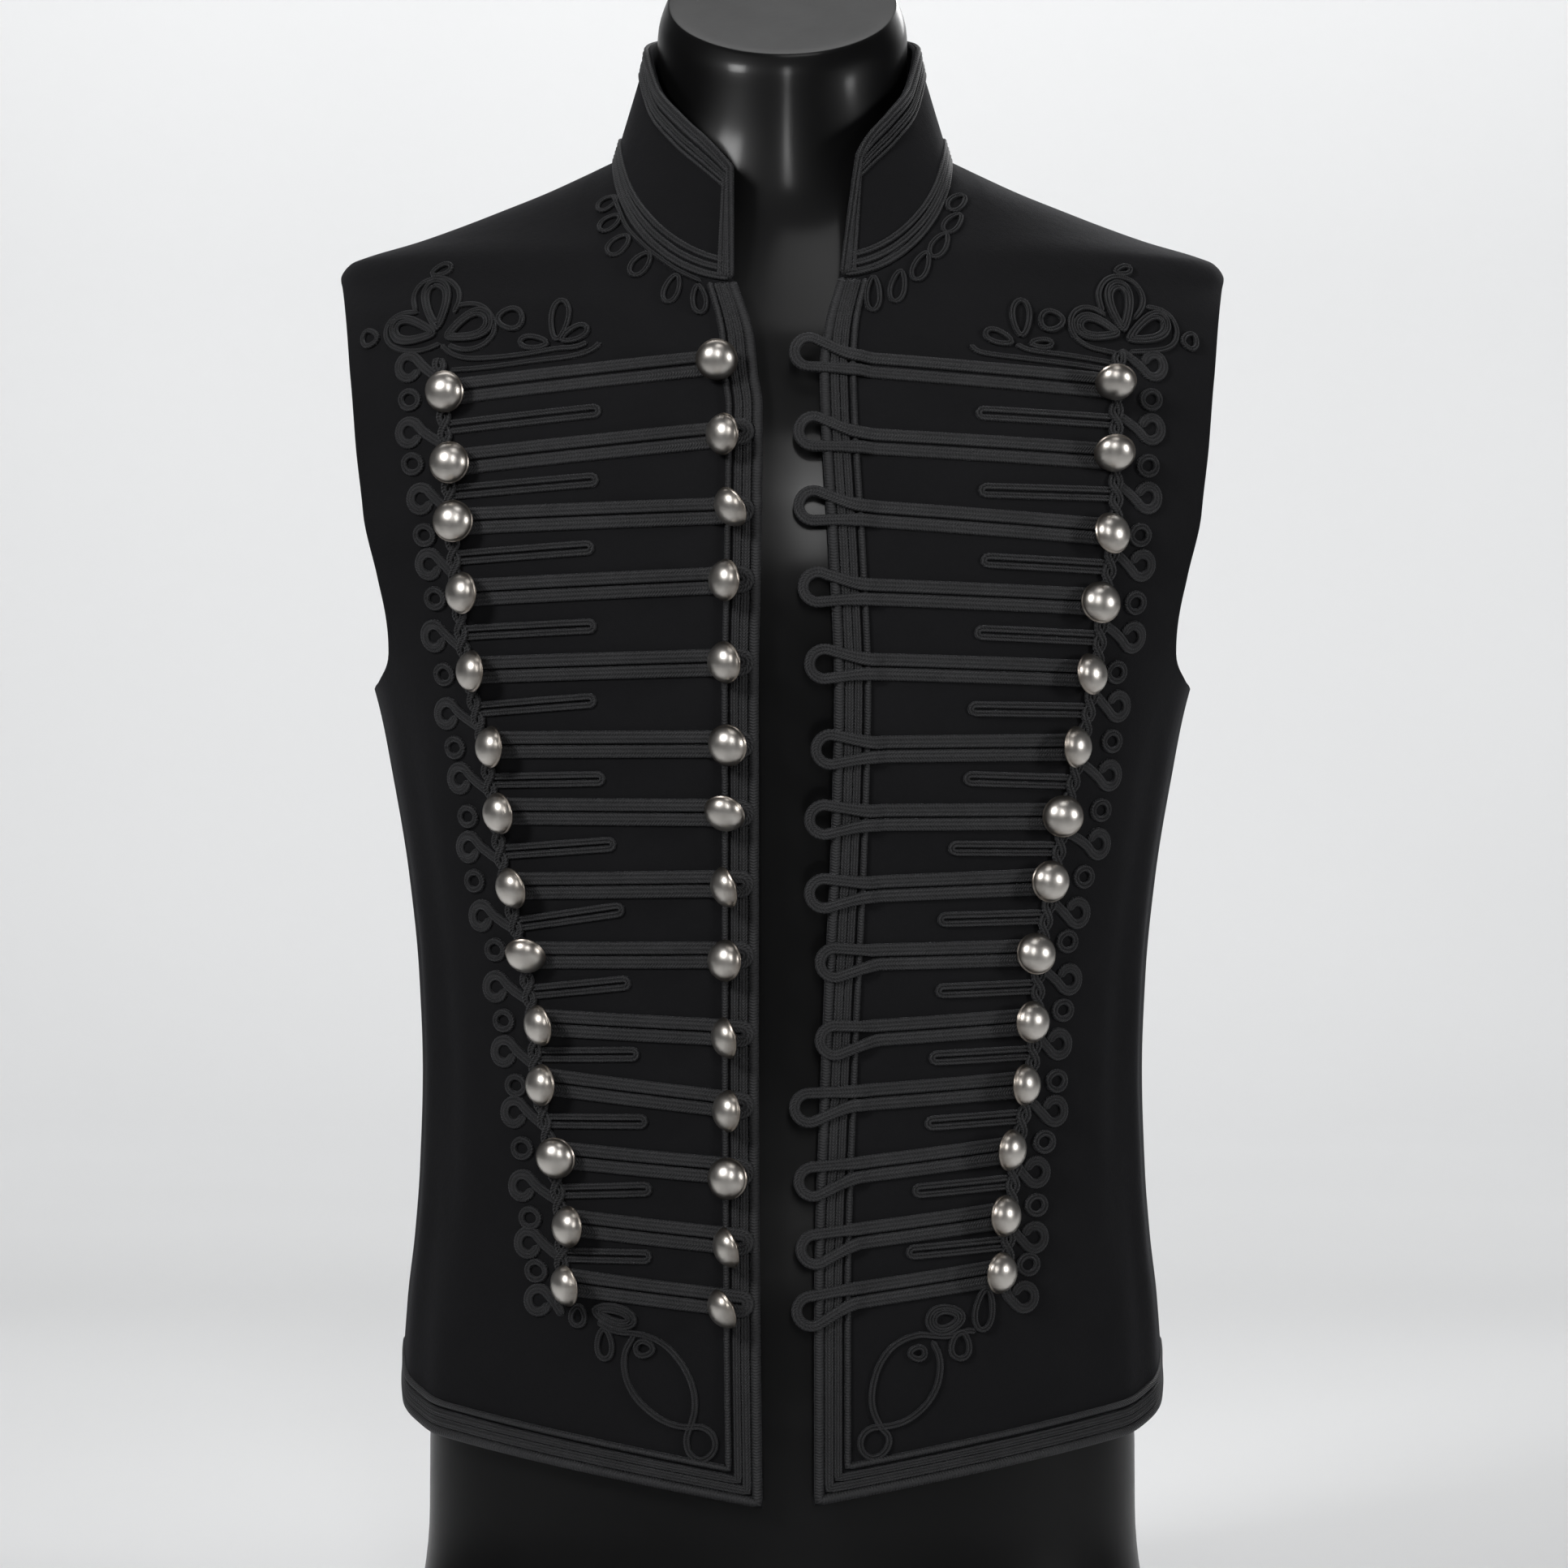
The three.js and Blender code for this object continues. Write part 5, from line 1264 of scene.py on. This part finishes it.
KNOT_STROKES = {
    "right": [
        [(176.2, 663.2), (178.2, 671), (174.9, 677.6), (168.4, 680.6), (161, 680), (155.3, 674.3),
         (154.9, 667.8), (157.7, 662)],
        [(174.9, 663.4), (183.1, 663.4), (189.3, 659.6), (191.3, 653.6), (189.6, 648.5),
         (185, 645.2), (179, 643.8), (171.7, 644), (163.5, 647.3)],
        [(156.5, 665.7), (150.4, 666.9), (143.8, 665.7), (138.9, 660.4), (136.6, 654.6),
         (139.7, 648.1), (145.5, 644.4), (152.8, 643.6), (160.2, 646.5)],
        [(163.5, 647), (158.6, 641.8), (150.4, 639.2), (138.1, 639.5), (125.8, 640.5), (113.5, 642.4),
         (107, 643.6), (98, 643.8), (92.5, 646.4)],
        [(159, 633.9), (146.3, 634.4), (134, 635.6), (117.6, 637.7), (101.2, 639.2), (91.4, 641.7),
         (86.1, 646.2)]],
    "left": [
        [(153.6, 662.8), (151.3, 671), (153.6, 677.2), (157.7, 680.7), (163.4, 681.2), (170, 678.4),
         (174.1, 671.8), (173.4, 665.3), (168.8, 659.8)],
        [(174.9, 666.1), (182.3, 665.3), (188, 661.2), (190.4, 654.5), (189, 648.5), (184.2, 645.2),
         (175.7, 643.9), (165.9, 643.2)],
        [(155.3, 660.8), (149.5, 664.3), (143.8, 664.9), (138.9, 662), (137.2, 656), (139.5, 649.5),
         (146.2, 644.8), (155.7, 643), (163, 641.4)],
        [(111, 645.8), (116.8, 642.8), (125, 641.8), (133.1, 641.1), (146.2, 639.3), (161.8, 636.8)],
        [(89.3, 645.4), (92.2, 641.7), (100.4, 640.3), (112.7, 639.0), (129, 637.3), (145.4, 635.4),
         (157.7, 633.6)]],
}
CORNER_CURLS = {
    "right": [
        (97, 183.5, 12, 11, 270, 0), (79.5, 184, 23, 13.5, 195, 1), (84.2, 170.5, 17, 11.5, 268, 0),
        (65.3, 168.7, 11, 11, 0, 0)],
    "left": [
        (77.3, 182.3, 20, 17.5, 190, 1), (95.7, 186.5, 22, 13, 262, 0),
        (84.4, 169.8, 15.5, 13.4, 268, 0), (63.9, 166.6, 10, 9.8, 0, 0)],
}
CORNER_STROKES = {
    "right": [[(87.8, 181.1), (79.5, 176.2), (68.5, 176), (57.1, 172.2), (48.2, 163.4), (42.3, 152.2),
              (40.9, 141.6), (42.9, 133.3), (45.7, 127), (44.7, 119.1), (38.2, 114.9), (31.4, 120.5),
              (32, 128.4), (38.4, 132.6), (46.5, 131.4), (57.1, 134.3), (68.9, 143.9), (74.6, 154.5),
              (75.3, 166.3), (70, 175)]],
    "left": [[(92, 176), (88, 177), (80, 174), (71.4, 174.6), (63.9, 175.6), (53, 171.3), (45.9, 162.3),
             (42.6, 151.4), (42.1, 141.4), (46.5, 131.4), (51.3, 127), (49.3, 120.1), (43, 116.3),
             (37.4, 119.8), (36.6, 126.8), (41.4, 131.8), (51.3, 132), (59.7, 134.7), (68.9, 142.2),
             (74.3, 152.2), (75.3, 163.9), (71, 172.3)]],
}
NECK_CURLS = {
    "right": [
        (84.5, 717, 13, 9.5, 330, 0), (83, 706.3, 14, 10, 325, 0), (78.6, 694.8, 15, 11, 318, 0),
        (67.9, 684.9, 15.5, 11, 310, 0), (52.7, 672.5, 16.5, 10.5, 290, 0), (39.6, 667, 16, 10, 264, 0)],
    "left": [
        (84.2, 717.5, 14, 10, 215, 0), (81.9, 706.2, 15, 10, 225, 0), (75.2, 694.6, 16, 10.5, 236, 0),
        (66.2, 683.7, 17, 10.5, 246, 0), (55, 673.7, 18, 10.5, 258, 0), (43.2, 669.8, 19, 10, 268, 0)],
}
NECK_STROKES = {
    "right": [[(81.9, 722), (78.5, 712.9), (74.6, 702.8), (65.1, 692.7), (55, 684.9), (48.2, 680.4),
              (38.6, 675.9)]],
    "left": [[(80.5, 727), (77.2, 719), (73.4, 710.5), (67.4, 702), (58.2, 693.4), (48.6, 686.2),
             (40.2, 681)]],
}


ORNAMENTS = [                    # piece, its solid, strokes, curls, then the style of its cord
    ("knot", "shoulder_knot", KNOT_STROKES, KNOT_CURLS,
     dict(stroke=2.8, width=2.7, height=THIN_HEIGHT, lift=0.2, storeys=3, narrow=(0.4, 0.66))),
    ("hem_scroll", "corner_scroll", CORNER_STROKES, CORNER_CURLS,
     dict(stroke=3.1, width=2.8, height=THIN_HEIGHT, lift=0.3, storeys=2, narrow=(0.35, 0.35))),
    ("neck_curls", "neck_scroll", NECK_STROKES, NECK_CURLS,
     dict(stroke=2.3, width=2.4, height=1.6, lift=0.2, storeys=2, narrow=(0.35, 0.35))),
]


def ornament(side, lines, rows, stroke, width, height, lift, storeys, narrow):
    """Open strokes and closed curls. Curls next to each other lie 0.2 mm apart in height, in
    storeys, and narrow is given for single and for doubled curls."""
    made = []
    for line in lines:
        path = resample(rounded(seen(*np.array(line, float).T), 3), 1.4)
        made.append(cord(sided(side, path), stroke, THIN_HEIGHT))
    for k, (x, z, length, breadth, degrees, double) in enumerate(rows):
        made += curl(side, seen(x, z), length, breadth, degrees, width, height, double=bool(double),
                     lift=lift + 0.2 * (k % storeys), narrow=narrow[double])
    return made


for side in ("right", "left"):
    for name, solid, lines, rows, style in ORNAMENTS:
        make_piece(f"{name}_{side}", ornament(side, lines[side], rows[side], **style),
                   thin_braid, [f"{solid}_{side}"])

# %% [markdown]
# A button is turned on a lathe in thought: its profile runs from the crown over the dome to a thin
# rolled rim, back under to the flat plate and down the shank. Each of them hangs a little
# differently, so the direction of its face is in the rows above, and its place comes from its own
# CAD solid: the mean of that solid's corners lies a known distance down the button's axis.

# %% Buttons
SHANK = (1.7, 4)                 # radius and length
MEAN_UP = 0.992                  # mm from a button's origin to the mean of its solid's corners
FACE_ARC = 12.5                  # mm over the dome that count as 1 in the UV map


def button_profile():
    """Radius and height: an arc for the dome, a rolled rim, the back plate and the shank."""
    turn = np.linspace(0.001, 1, 15) * math.radians(82)
    dome = np.column_stack([9.6 * np.sin(turn) / math.sin(turn[-1]),
                            1.4 + 6.6 * (np.cos(turn) - math.cos(turn[-1])) / (1 - math.cos(turn[-1]))])
    rim = np.array([(9.95, 1.2), (10.0, 0.8), (9.75, 0.35), (9.2, 0.1), (7.5, 0.45), (3.0, 0.5)])
    shank = np.array([(SHANK[0] + 0.5, 0.3), (SHANK[0], -0.6), (SHANK[0], -SHANK[1] + 0.5),
                      (SHANK[0] * 0.6, -SHANK[1]), (0.02, -SHANK[1])])
    return np.concatenate([dome, rim, shank])


def button(name, turn, nod, sides=36):
    """The profile spun round its axis, turned and nodded, and set where its solid is."""
    turn, nod = math.radians(turn), math.radians(nod)
    axis = np.array([math.sin(turn) * math.cos(nod), -math.cos(turn) * math.cos(nod), math.sin(nod)])
    corners = np.array([v.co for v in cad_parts[name].data.vertices]) / MM - (0, MIDDLE_Y, 0)
    origin = np.unique(np.round(corners, 3), axis=0).mean(0) - axis * MEAN_UP
    first = unit(np.cross(axis, (0.1, 0.2, 1.0)))
    second = np.cross(axis, first)
    profile = button_profile()
    spin = np.linspace(0, 2 * math.pi, sides, endpoint=False)
    ring = np.cos(spin)[:, None] * first + np.sin(spin)[:, None] * second
    points = origin + profile[:, None, :1] * ring[None] + profile[:, None, 1:] * axis
    away = walked_along(profile) / FACE_ARC
    return tube(points, np.stack(np.broadcast_arrays(spin[None] / (2 * math.pi), away[:, None]), -1))


for kind, side, which in (("right_outer", "right", "outer"), ("right_inner", "right", "inner"),
                          ("left_outer", "left", "outer")):
    names = [f"button_{kind}_{k + 1:02d}" for k in range(len(ROWS[side]))]
    solids = [button(name, row[f"{which}_turn"], row[f"{which}_nod"])
              for name, row in zip(names, ROWS[side])]
    make_piece(f"buttons_{kind}", solids, metal, names)

# %% [markdown]
# The form is the cloth's own shape drawn in along its normals, cut off flat where the arms would
# be, with a plain neck that ends in a slanted cap. It is built from the same clearances as its
# solid, on a finer grid, as one closed skin from the flat base to the cap.

# %% Dress form
CLEARANCE = np.array([           # height, then how far inside the cloth's outer face
    [0, 12], [119, 13], [147, 15], [215, 15], [295, 16], [391, 14], [439, 12], [482, 9], [535, 7],
    [600, 6.2], [655, 7], [680, 9.8], [700, 13.2], [719, 15], [743, 15],
])
NECK = np.array([                # height, half width, front, back, tilt in mm up for each mm back
    [750, 71, 60, 67, 0.08], [760, 64.5, 58.5, 63, 0.16], [776, 61.5, 58, 61, 0.32],
    [802, 61.5, 58.5, 60.5, 0.48], [821, 58.6, 58.5, 60, 0.58],
])
ARM_CAP = 190
THROAT_INSIDE = 6
NECK_TOP = 821
NECK_ROLL = 2.2
ROLL_FROM = 808
ROUND = np.linspace(0, 2 * math.pi, 128, endpoint=False)
inside, = curves(CLEARANCE)
neck_curves = curves(NECK)


def form_ring(height):
    """One ring: the body drawn in, with its sides clipped flat at the arm caps."""
    drawn_in = float(inside(height))
    front_inside = THROAT_INSIDE * (1 - smoothstep(height, 712, 750))
    throat = float(smoothstep(height, 650, 690)) * (drawn_in - front_inside)
    out = throat * np.maximum(0, np.cos(ROUND)) ** 12 - drawn_in
    ring = body_point(ROUND, height) + body_normal(ROUND, height) * out[:, None]
    if height > UNDERARM:
        ring[:, 0] = np.clip(ring[:, 0], -ARM_CAP, ARM_CAP)
    return ring


def neck_ring(height):
    """An ellipse with its own front and back depth, tilted so that its back is higher, and drawn in
    by the square of the way through the last few mm, where the neck rolls over to its cap."""
    half, front, back, tilt = (float(line(height)) for line in neck_curves)
    roll = NECK_ROLL * max(0, (height - ROLL_FROM) / (NECK_TOP - ROLL_FROM)) ** 2
    y = -np.where(np.cos(ROUND) > 0, front - roll, back - roll) * np.cos(ROUND)
    return np.column_stack([(half - roll) * np.sin(ROUND), y, height + tilt * y])


SMOOTH_PASSES = 60               # each ring of the throat moves halfway to its neighbours' mean
body_levels = np.concatenate([np.linspace(0, 482, 60), np.linspace(487, 690, 50),
                              np.linspace(692, 736, 14)])
neck_levels = np.append(np.linspace(750, ROLL_FROM, 18), np.linspace(810, NECK_TOP, 7))
stack = np.array([form_ring(level) for level in body_levels]
                 + [neck_ring(level) for level in neck_levels])
stack[0, :, 2] = 0.0
levels = np.concatenate([body_levels, neck_levels])[1:-1, None]
throat = smoothstep(levels, 655, 690) * (1 - smoothstep(levels, 785, 803))
smooth_share = (throat * smoothstep(np.cos(ROUND), 0.5, 0.9))[..., None]
for _ in range(SMOOTH_PASSES):
    stack[1:-1] += 0.25 * smooth_share * (stack[:-2] - 2 * stack[1:-1] + stack[2:])
rings = list(stack)
top = rings[-1]
middle = top.mean(0)
for share, rise in ((0.994, 0.25), (0.98, 0.4), (0.9, 0.5), (0.5, 0.5), (0.1, 0.5)):
    rings.append(middle + (top - middle) * share + (0, 0, rise))
skin = np.array(rings)
make_piece("form_skin", [tube(skin, skin[..., [0, 2]] * MM)], lacquer, ["form"])

# %% [markdown]
# Black things are lit by what they reflect, so the room in front stays dark and only a few soft
# lamps show in the lacquer and the buttons: a large one at the left, a small one at the right, one
# above and a tall narrow one behind the camera, whose upright reflection runs down the form's chest
# and neck. A faint one behind lights the back. The pale floor sweeps up into a pale wall, and each
# has a lamp of its own. The air of the room looks pale to the camera and gives almost no light. The
# sweep is a profile carried sideways, flat, then a quarter circle, then upright.

# %% Studio
FLOOR_HALF = 9.0
WALL_AT = 5.6
SWEEP = 1.2
PAPER_DARK = (0.78, 0.785, 0.79)
PAPER_LIGHT = (0.84, 0.845, 0.85)
AIR_LIGHT = 0.05                 # how strongly the air lights the room
AIR_SEEN = 0.84                  # and how bright it looks to the camera
turn = np.linspace(0, math.pi / 2, 24)
floor_line = np.concatenate([
    [(-7.0, 0.0)],
    np.column_stack([WALL_AT - SWEEP + SWEEP * np.sin(turn), SWEEP * (1 - np.cos(turn))]),
    [(WALL_AT, 7.0)]])
across = np.array([-FLOOR_HALF, FLOOR_HALF])
sweep_points = np.stack([
    np.broadcast_to(across[None], (len(floor_line), 2)),
    np.broadcast_to(floor_line[:, :1], (len(floor_line), 2)),
    np.broadcast_to(floor_line[:, 1:], (len(floor_line), 2))], -1).reshape(-1, 3)
sweep_quads = cells(np.arange(2 * len(floor_line)).reshape(-1, 2))
sweep_mesh = bpy.data.meshes.new("studio_sweep")
sweep_mesh.from_pydata(sweep_points.tolist(), [], sweep_quads.tolist())
sweep_mesh.shade_smooth()
pale, tree, shader = new_finish("pale_paper", Roughness=0.9, Specular_IOR_Level=0.2)
mottled = noise(tree, on_piece(tree), 0.7, 2.0)
finish_with(tree, shader, Base_Color=blend_colours(tree, mottled, PAPER_DARK, PAPER_LIGHT))
sweep_mesh.materials.append(pale)
studio = bpy.data.objects.new("studio_sweep", sweep_mesh)
bpy.context.scene.collection.objects.link(studio)

world = bpy.data.worlds.new("studio_air")
bpy.context.scene.world = world
world.use_nodes = True
air = world.node_tree.nodes["Background"]
air.inputs["Color"].default_value = (0.95, 0.96, 1.0, 1)
rays = node(world.node_tree, "ShaderNodeLightPath")
strength = spread_over(world.node_tree, rays.outputs["Is Camera Ray"], AIR_LIGHT, AIR_SEEN)
world.node_tree.links.new(strength, air.inputs["Strength"])

LAMPS = [                        # name, place, target, width, height, spread in degrees, watts
    ("lamp_left", (-1.6, -1.9, 1.7), (-0.04, 0, 0.62), 0.6, 0.7, 60, 4.4),
    ("lamp_right", (2.1, -1.1, 0.75), (0, 0, 0.6), 0.35, 0.6, 50, 1.3),
    ("lamp_top", (0.35, -1.1, 2.7), (0, 0, 0.75), 0.9, 0.6, 60, 0.6),
    ("lamp_front", (0.3, -4.4, 2.0), (0, 0, 0.6), 0.35, 2.4, 40, 2.4),
    ("lamp_back", (1.0, 2.3, 1.9), (0, 0, 0.5), 0.9, 0.9, 50, 2.6),
    ("lamp_wall", (0, 2.2, 3.6), (0, 5.6, 2.4), 6.0, 1.2, 150, 158),
    ("lamp_floor", (0, 1.5, 3.4), (0, 1.4, 0), 5.0, 1.4, 80, 27),
]
for name, place, target, wide, tall, spread, watts in LAMPS:
    lamp_data = bpy.data.lights.new(name, "AREA")
    lamp_data.spread = math.radians(spread)
    lamp_data.shape = "RECTANGLE"
    lamp_data.size, lamp_data.size_y, lamp_data.energy = wide, tall, watts
    lamp = bpy.data.objects.new(name, lamp_data)
    bpy.context.scene.collection.objects.link(lamp)
    lamp.location = place
    lamp.rotation_euler = (Vector(target) - Vector(place)).to_track_quat("-Z", "Y").to_euler()
bpy.context.scene.view_settings.view_transform = "Standard"
print(len(LAMPS), "lamps")

# %% [markdown]
# Last, the view layer is updated. The looks may stand a few millimetres proud of the solids.

# %% Last update
bpy.context.view_layer.update()
